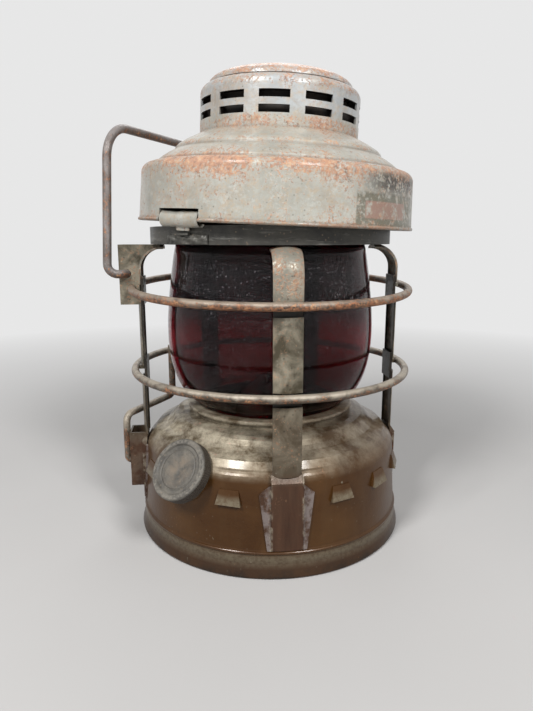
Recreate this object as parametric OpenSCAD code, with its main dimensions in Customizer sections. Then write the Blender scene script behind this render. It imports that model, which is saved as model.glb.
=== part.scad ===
// Wire-guarded kerosene lantern: oil base, ruby globe, strap frame, hinged vented lid and side bail.
// Millimetres, +Z up. Origin at the centre of the base on the table, front strap towards -Y.

/* [Base] */
// Radius of the base wall at its foot
base_r = 71.2; // [69:0.2:74]
// How far the base wall leans in between foot and shoulder
base_taper = 1.9; // [1:0.1:3]
// Height where the base wall turns into the shoulder
shoulder_z = 46; // [44:0.5:48]
// Radius of the shoulder's round
shoulder_round = 7; // [5:0.5:9]
// Height of the top of the sloping deck
deck_z = 64; // [63:0.5:66]
// Radius of the neck above the deck
neck_r = 44.5; // [43.5:0.1:46]
// Height of the neck above the deck
neck_h = 2; // [1.5:0.1:3]
// Sheet metal thickness
sheet = 1; // [0.8:0.1:1.2]
// How far the foot flares past the wall
foot_flare = 2.4; // [1.5:0.1:3]
// Height of the foot band
foot_h = 14; // [10:0.5:18]
// Thickness of the bottom pan and the foot's flange
pan_t = 1.2; // [1:0.1:2]
// Width of one air louvre
louvre_w = 12.5; // [9:0.5:14]
// Height of one air louvre
louvre_h = 7; // [6:0.5:9]
// Height of the middle of the louvres
louvre_z = 39; // [36:0.5:40]
// How far a louvre stands out at its mouth
louvre_out = 2.2; // [1.6:0.1:3]

/* [Oil tank and filler] */
// Outer radius of the oil tank
tank_r = 60; // [56:0.5:63]
// Height of the top of the oil tank
tank_z = 44; // [42:0.5:46]
// Outer radius of the filler neck
filler_r = 11.5; // [10:0.5:12.5]
// Slope of the filler above level
filler_slope = 36; // [32:1:40]
// Outer radius of the filler cap
cap_r = 15; // [14.5:0.5:15.5]
// Thickness of the filler cap
cap_h = 6.2; // [5.5:0.1:7]
// How far the cap stands out from the base's shoulder
cap_stand = 1.2; // [1.1:0.1:2]
// How far the cap's lower edge lies above the shoulder
cap_rise = 1; // [0.9:0.1:1.6]
// Thickness of the cork washer
washer_t = 1.5; // [1:0.1:2]

/* [Globe and gallery] */
// Largest radius of the globe
globe_r = 56; // [53:0.5:60]
// Radius of the globe's lower lip
globe_low_r = 41; // [39:0.5:42]
// Radius of the globe's upper lip
globe_top_r = 50; // [47:0.5:51]
// Height of the globe
globe_h = 89; // [87:0.5:91]
// Glass thickness
globe_wall = 3; // [2:0.5:4]
// Thickness of the gallery ring
gallery_t = 2.2; // [1.6:0.1:3]
// How far the gallery ring overhangs the neck
gallery_lip = 1.7; // [1:0.1:2.5]

/* [Strap frame] */
// How far the straps stand out from the base's shoulder
strap_proud = 1.9; // [1.6:0.1:2.4]
// Width of a strap
strap_w = 13.5; // [12:0.5:15]
// Rise of a strap's rounded face
strap_crown = 1.6; // [1:0.1:1.8]
// Radius of the bend at the top of a strap
strap_bend = 13; // [11:0.5:15]
// Half width of a strap's soldered foot at its top
strap_wing = 13; // [10:0.5:15]
// Diameter of the guard ring wire
ring_wire = 4; // [3:0.2:4.4]
// How far the guard rings' middle stands outside the straps' crown
ring_set = 2.8; // [2.6:0.1:3.1]
// How far the upper guard ring lies below the collar
ring_drop = 22.5; // [22:0.1:26]
// Forward droop of the bent upper guard ring, in degrees
ring_lean = 2.4; // [1.8:0.1:2.6]
// Height of the lower guard ring
ring_lower_z = 88.2; // [84:0.2:94]
// How far the globe's upper lip stands above the collar's underside
globe_rise = 2.9; // [2.2:0.1:3.3]
// Height of the collar
collar_h = 8.5; // [7.5:0.5:10]
// Room between the globe's upper lip and the collar's flange
collar_room = 5.4; // [4.5:0.1:6]
// Width of the collar's inner flange
collar_flange = 8; // [7:0.2:9]

/* [Bail and brackets] */
// Angle between the two straps that carry the bail
bail_span = 60; // [58:1:62]
// Diameter of the bail wire
bail_wire = 4.4; // [3.6:0.2:4.8]
// How far the bail's pivot lies below the collar
bail_drop = 15.2; // [14.8:0.1:15.4]
// Height of the bail above its pivot
bail_h = 73.5; // [70:0.5:82]
// Lean of the bail away from the lid, in degrees
bail_lean = 0; // [-1:0.5:5]
// How far the bail's legs stand outward of their pivot line
bail_crank = 5.2; // [4.8:0.1:6]
// How far the bail's legs stand outside its ears
bail_leg_out = 9; // [8:0.5:12]
// How far each leg comes in between pivot and top
bail_leg_in = 6; // [2:0.5:12]
// Radius of the bail's upper corners
bail_corner = 17; // [12:1:22]
// Height of a bracket
bracket_h = 31; // [29.5:0.5:32]
// How far a bail bracket stands out from its strap
bracket_out = 8.6; // [8.3:0.1:9.6]
// How far the stay's bracket stands out from its strap
stay_set = 7.6; // [7:0.1:8.6]
// Diameter of the lower stay's wire
stay_wire_d = 4; // [3:0.2:4.2]
// Height of the stay's lower end
stay_z = 34; // [32:0.5:36]
// Height of the stay's level run
stay_run_z = 60.5; // [58:0.5:64]

/* [Lid and chimney] */
// How far the lid's skirt stands outside the collar
lid_overhang = 7.9; // [7.2:0.1:8.8]
// How far the lid's skirt hangs below the collar's top
skirt_lap = 1.8; // [1.4:0.1:2.2]
// Height of the lid's skirt
skirt_h = 23.5; // [20:0.5:27]
// How far the skirt leans in towards its top
skirt_taper = 1.3; // [0.5:0.1:2]
// Radius of the round above the skirt
lid_round = 4.5; // [3.5:0.5:5]
// Rise of the lid's stepped dome above the skirt
dome_h = 20.6; // [18.5:0.1:22.5]
// Radius of the vented chimney
chimney_r = 40.8; // [38:0.2:43]
// Height of the chimney above the dome
chimney_h = 18.4; // [17:0.1:21]
// Height of the crown above the chimney
crown_h = 13.3; // [11.5:0.1:16]
// Number of vents in a row
vents = 12; // [8:1:14]
// Height of one vent
vent_h = 3.4; // [2:0.1:4]
// Tilt of the worn lid on its collar, in degrees
lid_tilt = 2.58; // [2.2:0.02:2.8]
// Sideways set of the worn lid
lid_shift = 2.7; // [2.4:0.1:3.2]
// Radius of the hinge pin
hinge_pin_r = 1.2; // [1:0.1:1.4]
// Radius of the hinge knuckles
knuckle_r = 2.3; // [2.1:0.1:2.6]
// Width of the latch lever
latch_w = 24; // [18:0.5:26]

/* [Burner] */
// Width of the flat wick
wick_w = 13.6; // [11:0.2:15]
// Thickness of the flat wick
wick_t = 2.4; // [1.8:0.1:3]
// How far the wick stands above its tube
wick_up = 2; // [1:0.5:4]
// Radius of the burner's dome
burner_r = 19; // [18:0.5:22]
// Radius of the wick wheels
wheel_r = 4; // [3.4:0.1:4.4]
// Height of the wick shaft
shaft_z = 58.5; // [58.1:0.1:59]
// Radius of the wick shaft
shaft_r = 1.5; // [1.2:0.1:1.7]
// Radius of the wick knob
knob_r = 6; // [5:0.5:6.5]
// Thickness of the wick knob
knob_t = 5; // [4:0.5:7]

/* [Hidden] */

$fn = 64;
// Clearance of a turning fit, of parts that pass each other, and overshoot of a cut
fit = 0.06;
gap = 0.3;
over = 1;

painted = [0.29, 0.27, 0.23];
rusty = [0.42, 0.31, 0.25];
grey = [0.47, 0.47, 0.45];
brass = [0.66, 0.53, 0.28];
ruby = [0.35, 0.02, 0.03, 0.7];

// Directions around the axis, in degrees from +X
front_az = -90;
right_az = 0;
left_az = 180;
rear_left_az = left_az - bail_span;
rear_right_az = 60;
strap_azs = [front_az, right_az, rear_right_az, rear_left_az, left_az];
bail_az = left_az - bail_span / 2;
filler_az = 228;
latch_az = 225;
hinge_az = 45;
knob_az = 90;
stay_end_az = 145;

shoulder_r = base_r - base_taper;
strap_r = shoulder_r + strap_proud;
gallery_z = deck_z + neck_h;
globe_z = gallery_z + gallery_t;
globe_top = globe_z + globe_h;
collar_z = globe_top - globe_rise;
collar_top = collar_z + collar_h;
collar_in = globe_top_r + collar_room;
collar_r = collar_in + collar_flange;
lid_r = collar_r + lid_overhang;
baffle_z = collar_top + gap;
skirt_z = collar_top - skirt_lap;
dome_z = skirt_z + skirt_h;
chimney_z = dome_z + dome_h;
crown_z = chimney_z + chimney_h;
ring_r = strap_r + ring_set;
ring_in = ring_r - ring_wire / 2;
ring_upper_z = collar_z - ring_drop;
bail_z = collar_z - bail_drop;
wire_fit = 0.1;

// Points of a round stretch about [x, z]
function arc(x, z, r, from, to, steps = 6) =
  [for (i = [0 : steps]) let (a = from + (to - from) * i / steps) [x + r * cos(a), z + r * sin(a)]];

function unit(v) = v / norm(v);
function left_normal(a, b) = let (d = unit(b - a)) [-d[1], d[0]];
// Point i of a line of points, moved to its left by t, with mitred corners
function beside(p, i, t) =
  let (
    last = len(p) - 1,
    before = left_normal(p[max(i - 1, 0)], p[max(i, 1)]),
    after = left_normal(p[min(i, last - 1)], p[min(i + 1, last)])
  )
  p[i] + (before + after) * t / (1 + before * after);
// Closed outline of a sheet of thickness t whose outer face follows the points, cut off at the axis
function sheet_outline(p, t) =
  concat(p, [for (i = [len(p) - 1 : -1 : 0]) let (q = beside(p, i, t)) [max(q[0], 0), q[1]]]);

module spun(points, t = sheet) {
  rotate_extrude() polygon(sheet_outline(points, t));
}

// Matrix that puts local axes x, y, z at the point o
function placed(o, x, y, z) =
  [[x[0], y[0], z[0], o[0]], [x[1], y[1], z[1], o[1]], [x[2], y[2], z[2], o[2]], [0, 0, 0, 1]];
function square_to(d) = unit(cross(d, abs(d[2]) < 0.9 ? [0, 0, 1] : [1, 0, 0]));

module rod(from, to, r) {
  along = unit(to - from);
  across = square_to(along);
  multmatrix(placed(from, across, cross(along, across), along)) cylinder(r = r, h = norm(to - from));
}

function heading(p, i) = unit(p[i + 1] - p[i]);
function turn(p, i) = acos(heading(p, i - 1) * heading(p, i));
bend_steps = 7;
// Points along the round bend of radius r at point i
function bend(p, i, r) =
  let (
    onward = heading(p, i - 1),
    inward = unit(heading(p, i) - onward * (heading(p, i) * onward)),
    start = p[i] - onward * r * tan(turn(p, i) / 2)
  )
  [
    for (k = [0 : bend_steps])
      let (a = turn(p, i) * k / bend_steps)
      start + inward * r * (1 - cos(a)) + onward * r * sin(a)
  ];
// The route with its corners rounded, one bend radius for each inner point
function rounded(p, bends) = [
  for (i = [0 : len(p) - 1])
    each i == 0 || i == len(p) - 1 ? [p[i]] : bend(p, i, bends[i - 1])
];
function tangent(q, i) = unit(q[min(i + 1, len(q) - 1)] - q[max(i - 1, 0)]);
function levelled(n, t) = unit(n - t * (n * t));

wire_sides = 16;
// Round wire of radius r along the points: rings square to the route, joined by triangles
module wire(p, bends, r) {
  q = rounded(p, bends);
  normals = [
    for (
      i = 0, n = square_to(tangent(q, 0));
      i < len(q);
      i = i + 1, n = i < len(q) ? levelled(n, tangent(q, i)) : n
    ) n
  ];
  rings = [
    for (i = [0 : len(q) - 1], k = [0 : wire_sides - 1])
      let (a = 360 * k / wire_sides, side = cross(tangent(q, i), normals[i]))
      q[i] + r * (normals[i] * cos(a) + side * sin(a))
  ];
  last = (len(q) - 1) * wire_sides;
  skin = [
    for (i = [0 : len(q) - 2], k = [0 : wire_sides - 1])
      let (a = i * wire_sides + k, b = i * wire_sides + (k + 1) % wire_sides)
      each [[a, a + wire_sides, b], [b, a + wire_sides, b + wire_sides]]
  ];
  ends = [[for (k = [0 : wire_sides - 1]) k], [for (k = [wire_sides - 1 : -1 : 0]) last + k]];
  polyhedron(rings, concat(skin, ends));
}

// Box given by its low and high corners
module block(low, high) {
  translate(low) cube(high - low);
}

// Base

wall_slope = base_taper / (shoulder_z - foot_h);
deck_run = shoulder_r - shoulder_round * 0.45 - neck_r;
deck_rise = deck_z - shoulder_z - shoulder_round * 0.83;
deck_foot = [neck_r + deck_run, deck_z - deck_rise];
// Points of the deck as shares of its run and rise: a low shelf, then a rounded ring about the neck
deck_shape = [
  [0.9, 0.26], [0.76, 0.37], [0.62, 0.47], [0.52, 0.62], [0.43, 0.81], [0.34, 0.92], [0.2, 0.99], [0.05, 1]
];
deck_points = [for (q = deck_shape) [neck_r + deck_run * q[0], deck_foot[1] + deck_rise * q[1]]];
base_line = concat(
  [[base_r, pan_t], [base_r, foot_h]],
  arc(shoulder_r - shoulder_round, shoulder_z, shoulder_round, 0, 56),
  deck_points,
  [[neck_r, deck_z], [neck_r, gallery_z]]
);

function apart(a, b) = abs((a - b + 540) % 360 - 180);
filler_room = 18;
strap_room = 16;
louvre_azs = [
  for (a = [22.5 : 22.5 : 359])
    if (apart(a, filler_az) > filler_room && min([for (s = strap_azs) apart(a, s)]) > strap_room) a
];
louvre_low = louvre_z - louvre_h / 2;
louvre_high = louvre_z + louvre_h / 2;
function wall_r_at(z) = base_r - wall_slope * (z - foot_h);

// Hood with an open mouth below, narrower and flush at its top
module louvre_hood(inset) {
  low = wall_r_at(louvre_low);
  high = wall_r_at(louvre_high);
  half = louvre_w / 2 - inset;
  top_half = louvre_w * 0.38 - inset;
  intersection() {
    translate([0, half, 0]) rotate([90, 0, 0]) linear_extrude(2 * half) polygon([
      [low - 2 * sheet, louvre_low],
      [low + louvre_out - inset, louvre_low],
      [high + 0.3 - inset, louvre_high - inset],
      [high - 2 * sheet, louvre_high - inset]
    ]);
    rotate([90, 0, 90]) linear_extrude(base_r + 2 * louvre_out) polygon([
      [-half, louvre_low], [half, louvre_low], [top_half, louvre_high], [-top_half, louvre_high]
    ]);
  }
}

// Middle of the cap's top, out from the axis and up
cap_reach = shoulder_r + cap_h * cos(filler_slope) + cap_stand;
cap_z = shoulder_z + cap_h * sin(filler_slope) + cap_rise;
filler_top = [cap_reach, 0, cap_z];
// Frame whose z axis leaves along the filler, from the middle of the cap's top
module on_filler() {
  rotate([0, 0, filler_az]) translate(filler_top) rotate([0, 90 - filler_slope, 0]) children();
}
filler_len = (cap_reach - tank_r) / cos(filler_slope) + filler_r * tan(filler_slope) + 4;
cap_crown = 1.6;
neck_top = -cap_crown - washer_t - gap;
cap_bore_r = filler_r + gap;

module filler_bore(r) {
  on_filler() translate([0, 0, -filler_len]) cylinder(r = r, h = filler_len + neck_top);
}

module shaft_line(r, from, to) {
  rotate([0, 0, knob_az]) translate([from, shaft_y, shaft_z])
    rotate([0, 90, 0]) cylinder(r = r, h = to - from);
}

module base_shell() {
  color(painted) difference() {
    union() {
      spun(base_line);
      for (a = louvre_azs)
        rotate([0, 0, a]) louvre_hood(0);
    }
    for (a = louvre_azs)
      rotate([0, 0, a]) translate([0, 0, -0.01]) louvre_hood(sheet * 0.8);
    filler_bore(filler_r);
    shaft_line(bush_r, tank_r - 15, base_r + over);
  }
}

module foot_rim() {
  roll = 1.2;
  bead = 1;
  color(painted) rotate_extrude() polygon(concat(
    [[base_r, foot_h]],
    arc(base_r, foot_h - 1.6 * bead, bead, 75, -75),
    [
      [base_r + 0.5, foot_h - 3.6],
      [base_r + foot_flare * 0.3, foot_h * 0.5],
      [base_r + foot_flare * 0.75, foot_h * 0.25]
    ],
    arc(base_r + foot_flare - roll, roll, roll, 20, -90),
    [[base_r - 3, 0], [base_r - 3, pan_t], [base_r, pan_t]]
  ));
}

module bottom_pan() {
  color(painted) cylinder(r = base_r - 3, h = pan_t);
}

burner_collar_r = 16;
burner_plug_r = 13;

module oil_tank() {
  tank_round = 4;
  color(grey) difference() {
    rotate_extrude() polygon(concat(
      [[0, pan_t], [tank_r, pan_t]],
      arc(tank_r - tank_round, tank_z - tank_round, tank_round, 0, 90),
      [[0, tank_z]]
    ));
    rotate_extrude() polygon(concat(
      [[0, pan_t + sheet], [tank_r - sheet, pan_t + sheet]],
      arc(tank_r - tank_round, tank_z - tank_round, tank_round - sheet, 0, 90),
      [[0, tank_z - sheet]]
    ));
    cylinder(r = burner_plug_r, h = tank_z + over);
    filler_bore(filler_r);
  }
}

module filler_neck() {
  color(grey) difference() {
    filler_bore(filler_r);
    on_filler() translate([0, 0, -filler_len - over]) cylinder(r = filler_r - 1.2, h = filler_len + 2 * over);
  }
}

module filler_washer() {
  color([0.5, 0.36, 0.22]) on_filler() translate([0, 0, -cap_crown - washer_t - gap / 2]) difference() {
    cylinder(r = filler_r, h = washer_t);
    translate([0, 0, -over]) cylinder(r = filler_r - 3, h = washer_t + 2 * over);
  }
}

module filler_cap() {
  rim_w = 2.6;
  dish = 0.7;
  edge = 1;
  color([0.2, 0.19, 0.18]) on_filler() rotate_extrude() polygon(concat(
    [[0, -dish], [cap_r - rim_w - dish, -dish], [cap_r - rim_w, 0]],
    arc(cap_r - edge, -edge, edge, 90, 0, 4),
    [[cap_r, -cap_h], [cap_bore_r, -cap_h], [cap_bore_r, -cap_crown], [0, -cap_crown]]
  ));
}

// Strap frame

strap_arch = ((strap_w / 2) * (strap_w / 2) + strap_crown * strap_crown) / (2 * strap_crown);
strap_bend_z = collar_z - strap_bend;
// Straight end of a strap under the collar's flange
strap_lap = max(strap_r - strap_bend - collar_in - 1.3, 1);

// Section of a strap with its crown at x = 0, filled back to a depth
module strap_section(depth, hollow) {
  intersection() {
    difference() {
      translate([-strap_arch, 0]) circle(strap_arch, $fn = 180);
      if (hollow)
        translate([-strap_arch, 0]) circle(strap_arch - sheet, $fn = 180);
    }
    translate([-depth, -strap_w / 2]) square([depth + over, strap_w]);
  }
}

// The section carried up the strap, round its bend and in under the collar
module strap_run(depth, hollow, foot) {
  translate([strap_r, 0, foot]) linear_extrude(strap_bend_z - foot) strap_section(depth, hollow);
  translate([strap_r - strap_bend, 0, strap_bend_z]) {
    rotate([90, 0, 0]) rotate_extrude(angle = 90) translate([strap_bend, 0]) strap_section(depth, hollow);
    rotate([0, -90, 0]) linear_extrude(strap_lap) translate([strap_bend, 0]) strap_section(depth, hollow);
  }
}

module ring_torus() {
  rotate_extrude($fn = 180) translate([ring_r, 0]) circle(ring_wire / 2, $fn = 32);
}

module upper_ring() {
  translate([0, 0, ring_upper_z]) rotate([ring_lean, 0, 0]) ring_torus();
}

module lower_ring() {
  translate([0, 0, ring_lower_z]) ring_torus();
}

// Heights of the two rings where they pass a strap
function ring_heights(az) = [ring_upper_z + ring_r * sin(az) * tan(ring_lean), ring_lower_z];

// Plate soldered to the base wall at a strap's foot
module strap_foot_plate() {
  wing_low = strap_wing * 0.72;
  wing_top = shoulder_z - 0.5;
  wing_bevel = 4;
  plate = sheet * 0.9;
  intersection() {
    rotate([0, 0, -20]) rotate_extrude(angle = 40) polygon([
      [wall_r_at(foot_h), foot_h],
      [wall_r_at(foot_h) + plate, foot_h],
      [wall_r_at(wing_top) + plate, wing_top],
      [wall_r_at(wing_top), wing_top]
    ]);
    rotate([90, 0, 90]) linear_extrude(base_r + 3 * over) polygon([
      [-wing_low, foot_h - over],
      [wing_low, foot_h - over],
      [strap_wing, wing_top - wing_bevel],
      [strap_w / 2, wing_top + over],
      [-strap_w / 2, wing_top + over],
      [-strap_wing, wing_top - wing_bevel]
    ]);
  }
}

// Front of the straps' flat feet
foot_front = base_r + 0.8;

// Flat lower end of a strap, from the foot band to just above the shoulder, filled back to the wall or deeper
module strap_foot_block(deeper = 0) {
  low = foot_h + 0.4;
  bevel_z = shoulder_z + 1.6;
  high = shoulder_z + 5;
  half = strap_w / 2 + 0.8;
  translate([0, half, 0]) rotate([90, 0, 0]) linear_extrude(2 * half) polygon([
    [wall_r_at(low) - deeper, low],
    [foot_front, low],
    [foot_front, bevel_z],
    [strap_r - strap_crown, high],
    [wall_r_at(high) - deeper, high]
  ]);
}

// Opening above and below the middle of a ring, and the bar behind it
slot_above = ring_wire / 2 - 0.3;
slot_below = ring_wire / 2 + 3;
bridge_t = 1.4;
bridge_r = strap_r - strap_crown - sheet * 0.6;

// Opening in a strap's face for a guard ring, which sits under its upper edge
module ring_slot(z) {
  block(
    [strap_r - 2 * strap_crown - sheet, -strap_w, z - slot_below],
    [strap_r + over, strap_w, z + slot_above]
  );
}

// Bar behind the opening that carries the strap past it, with a peg out to the ring
module ring_bridge(z) {
  block(
    [bridge_r - bridge_t, 0.2 - strap_w / 2, z - slot_below - 4],
    [bridge_r, strap_w / 2 - 0.2, z + slot_above + 4]
  );
  block([bridge_r - bridge_t, -2.5, z - 1], [ring_r - 1, 2.5, z + 1]);
}

module strap(az) {
  color(painted) difference() {
    rotate([0, 0, az]) {
      difference() {
        strap_run(strap_crown + sheet, true, shoulder_z + 4);
        for (z = ring_heights(az))
          ring_slot(z);
      }
      for (z = ring_heights(az))
        ring_bridge(z);
      strap_foot_block();
      strap_foot_plate();
    }
    upper_ring();
    lower_ring();
  }
}

module guard_ring_upper() {
  color(rusty) upper_ring();
}

module guard_ring_lower() {
  color(rusty) lower_ring();
}

module collar() {
  color(grey) rotate_extrude() polygon([
    [collar_r, collar_z],
    [collar_r, collar_top],
    [collar_r - sheet, collar_top],
    [collar_r - sheet, collar_z + sheet],
    [collar_in, collar_z + sheet],
    [collar_in, collar_z]
  ]);
}

// Springy L-shaped clips on the collar's flange that steady the globe
module globe_clips() {
  clip_w = 8;
  clip_t = 0.8;
  clip_in = globe_top_r + gap;
  color(grey) for (a = [30, 150, 270]) rotate([0, 0, a]) difference() {
    translate([0, -clip_w / 2, collar_z + sheet]) {
      cube([collar_r - sheet - 0.5, clip_w, clip_t]);
      cube([clip_in + clip_t, clip_w, globe_top - collar_z - sheet]);
    }
    translate([0, 0, collar_z]) cylinder(r = clip_in, h = collar_h + over);
  }
}

// Brackets, bail and stay

bracket_r = strap_r + bracket_out;
// Where the bail's wire passes through the outer plate of its bracket
eye_r = bracket_r - sheet - bail_wire / 2 - 0.6;
eye_side = strap_w / 2 - sheet / 2;
half_span = bail_span / 2;
pivot_x = eye_r * cos(half_span) - eye_side * sin(half_span);
pivot_y = eye_r * sin(half_span) + eye_side * cos(half_span);
bail_end_y = pivot_y - 2.6;

// U-shaped bracket on a strap at azimuth 0, standing out to a radius, from low to low plus its height
module bracket(low, reach) {
  difference() {
    union() {
      for (side = [-1, 1])
        translate([strap_r - strap_bend, side * (strap_w - sheet) / 2 - sheet / 2, low])
          cube([reach - strap_r + strap_bend, sheet, bracket_h]);
      translate([reach - sheet, -strap_w / 2, low]) cube([sheet, strap_w, bracket_h]);
    }
    strap_run(strap_bend, false, 0);
  }
}

// Bracket with the bail's eye, drawn with the bail's outward direction along +X
module bail_ear() {
  ear_low = min(bail_z + bracket_h / 2, collar_z - gap) - bracket_h;
  difference() {
    rotate([0, 0, half_span]) bracket(ear_low, bracket_r);
    translate([pivot_x, pivot_y - 4, bail_z])
      rotate([-90, 0, 0]) cylinder(r = bail_wire / 2 + wire_fit, h = 8);
  }
}

module ear_left() {
  color(grey) difference() {
    rotate([0, 0, bail_az]) bail_ear();
    upper_ring();
  }
}

module ear_rear() {
  color(grey) difference() {
    rotate([0, 0, bail_az]) mirror([0, 1, 0]) bail_ear();
    upper_ring();
  }
}

module bail() {
  lean_out = bail_h * tan(bail_lean);
  leg_y = pivot_y + bail_leg_out;
  half = [
    [pivot_x, bail_end_y, bail_z],
    [pivot_x, pivot_y + 3.4, bail_z],
    [pivot_x + bail_crank, leg_y, bail_z],
    [pivot_x + bail_crank + lean_out, leg_y - bail_leg_in, bail_z + bail_h]
  ];
  path = concat(half, [for (i = [3 : -1 : 0]) [half[i][0], -half[i][1], half[i][2]]]);
  bends = [4, 5, bail_corner];
  color(rusty) rotate([0, 0, bail_az])
    wire(path, concat(bends, [for (i = [2 : -1 : 0]) bends[i]]), bail_wire / 2);
}

stay_r = stay_wire_d / 2;
stay_bracket_r = strap_r + stay_set;
stay_out = stay_bracket_r + stay_r + wire_fit;
stay_up = ring_in - stay_r - wire_fit;

module stay_path() {
  up_at = [stay_up * cos(stay_end_az), stay_up * sin(stay_end_az)];
  inner = [-(stay_bracket_r - sheet - 1.5), 0, stay_z];
  path = [
    inner,
    [-stay_out, 0, stay_z],
    [-stay_out, 0, stay_run_z],
    [up_at[0], up_at[1], stay_run_z],
    [up_at[0], up_at[1], ring_lower_z + ring_wire]
  ];
  bend_r = stay_wire_d;
  wire(path, [stay_r + 0.2, bend_r * 1.2, bend_r], stay_r);
}

module stay_bracket() {
  stay_low = stay_z - 13;
  color(grey) difference() {
    rotate([0, 0, left_az]) difference() {
      bracket(stay_low, stay_bracket_r);
      strap_foot_block(strap_bend);
    }
    rod([-stay_out, 0, stay_z], [-strap_r, 0, stay_z], stay_r + wire_fit);
  }
}

module stay_wire() {
  color(rusty) stay_path();
}

// Globe and burner

module gallery_ring() {
  color(grey) rotate_extrude() polygon(concat(
    [[neck_r - sheet - 5, gallery_z], [neck_r, gallery_z]],
    arc(neck_r + gallery_lip - gallery_t / 2, gallery_z + gallery_t / 2, gallery_t / 2, -90, 90),
    [[neck_r - sheet - 5, globe_z]]
  ));
}

// Height up the globe as a share, and the radius there as a share of the swell
function swell(s) = pow(sin(180 * pow(s, 0.86)), 0.62);
lip_h = 2.5;
function globe_line(steps) = [
  for (i = [0 : steps])
    let (
      s = i / steps,
      lip_r = globe_low_r + (globe_top_r - globe_low_r) * s,
      z = globe_z + lip_h + (globe_h - 2 * lip_h) * s
    )
    [lip_r + (globe_r - lip_r) * swell(s), z]
];

module globe() {
  line = concat([[globe_low_r, globe_z]], globe_line(22), [[globe_top_r, globe_top]]);
  color(ruby) spun(line, globe_wall);
}

tube_wall = 0.8;
tube_w = wick_w + 2 * tube_wall + 2 * gap;
tube_t = wick_t + 2 * tube_wall + 2 * gap;
tube_low = tank_z - 10;
tube_top = globe_z + 11.8;
shaft_y = wick_t / 2 + gap + wheel_r;
bush_r = shaft_r + 1.6;
plate_z = tank_z + 5;
plate_t = 1.5;
burner_top = tube_top + 4;
body_r = shaft_y + 6;
body_top = shaft_z + wheel_r - 1;
wheel_w = 2;
wheel_x = wick_w / 4;

module flat_bar(w, t, low, high) {
  rotate([0, 0, knob_az]) block([-w / 2, -t / 2, low], [w / 2, t / 2, high]);
}

module burner_collar() {
  color(brass) translate([0, 0, tank_z]) difference() {
    cylinder(r = burner_collar_r, h = plate_z - tank_z);
    translate([0, 0, -over]) cylinder(r = burner_plug_r, h = plate_z - tank_z + 2 * over);
  }
}

module burner_body() {
  room = wheel_r + gap;
  color(brass) difference() {
    union() {
      translate([0, 0, tank_z - 4]) cylinder(r = burner_plug_r, h = plate_z - tank_z + 4);
      translate([0, 0, plate_z]) cylinder(r = burner_r + 1.5, h = plate_t);
      translate([0, 0, plate_z + plate_t]) cylinder(r = body_r, h = body_top - plate_z - plate_t);
    }
    flat_bar(tube_w, tube_t, 0, body_top + over);
    shaft_line(shaft_r + fit, -burner_r, burner_r);
    rotate([0, 0, knob_az]) block(
      [-wheel_x - wheel_w, 0, shaft_z - room], [wheel_x + wheel_w, shaft_y + room, body_top + over]
    );
  }
}

module wick_tube() {
  room = wheel_r + gap;
  color(brass) difference() {
    flat_bar(tube_w, tube_t, tube_low, tube_top);
    flat_bar(wick_w + 2 * gap, wick_t + 2 * gap, tube_low - over, tube_top + over);
    rotate([0, 0, knob_az]) block(
      [-wheel_x - wheel_w, 0, shaft_z - room], [wheel_x + wheel_w, tube_t, shaft_z + room]
    );
  }
}

module burner_dome() {
  foot = plate_z + plate_t;
  skirt_top = foot + 14;
  line = concat(
    [[burner_r, foot]],
    arc(burner_r - 10, skirt_top, 10, 0, 60),
    [[5, burner_top - 2], [0, burner_top]]
  );
  color(brass) difference() {
    spun(line, 0.8);
    flat_bar(wick_w + 3, wick_t + 3.6, tube_top - 8, burner_top + over);
    flat_bar(tube_w + 2 * gap, tube_t + 2 * gap, foot, burner_top + over);
    shaft_line(shaft_r + 4 * gap, 0, burner_r + over);
  }
}

module wick() {
  color([0.85, 0.8, 0.68]) flat_bar(wick_w, wick_t, pan_t + sheet + 12, tube_top + wick_up);
}

knob_from = shoulder_r - 0.8;

module wick_shaft() {
  teeth = 10;
  color(brass) {
    shaft_line(shaft_r, -body_r + 1, knob_from + knob_t - 1);
    for (x = [-wheel_x, wheel_x]) rotate([0, 0, knob_az]) translate([x - wheel_w / 2, shaft_y, shaft_z])
      rotate([0, 90, 0]) difference() {
        cylinder(r = wheel_r, h = wheel_w);
        for (i = [0 : teeth - 1]) rotate([0, 0, (i + 0.5) * 360 / teeth])
          translate([wheel_r, 0, -over]) cylinder(r = 0.7, h = wheel_w + 2 * over, $fn = 16);
      }
  }
}

module wick_knob() {
  flutes = 18;
  color(brass) rotate([0, 0, knob_az])
    translate([knob_from, shaft_y, shaft_z]) rotate([0, 90, 0]) difference() {
      cylinder(r = knob_r, h = knob_t);
      translate([0, 0, -over]) cylinder(r = shaft_r, h = knob_t);
      for (i = [0 : flutes - 1]) rotate([0, 0, i * 360 / flutes])
        translate([knob_r + 0.3, 0, -over]) cylinder(r = 0.8, h = knob_t + 2 * over, $fn = 16);
    }
}

bush_at = lookup(shaft_z, [for (q = deck_points) [q[1], q[0]]]);

module shaft_bush() {
  half = 6;
  color(brass) difference() {
    shaft_line(bush_r, bush_at - half, bush_at + half);
    shaft_line(shaft_r + fit, bush_at - half - over, bush_at + half + over);
  }
}

// Lid

// Direction towards which the lid leans
lean_az = -31.5;
// The lid as it sits: tilted about the collar's edge on the side it leans to, and shifted sideways
module seated() {
  translate([lid_shift, 0, 0]) rotate([0, 0, lean_az])
    translate([collar_r, 0, collar_top]) rotate([0, lid_tilt, 0]) translate([-collar_r, 0, -collar_top])
      rotate([0, 0, -lean_az]) children();
}

skirt_top_r = lid_r - skirt_taper;
shelf_r = skirt_top_r - lid_round - 3;
tier_r = chimney_r + 11.5;
bead_r = 0.8;
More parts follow.
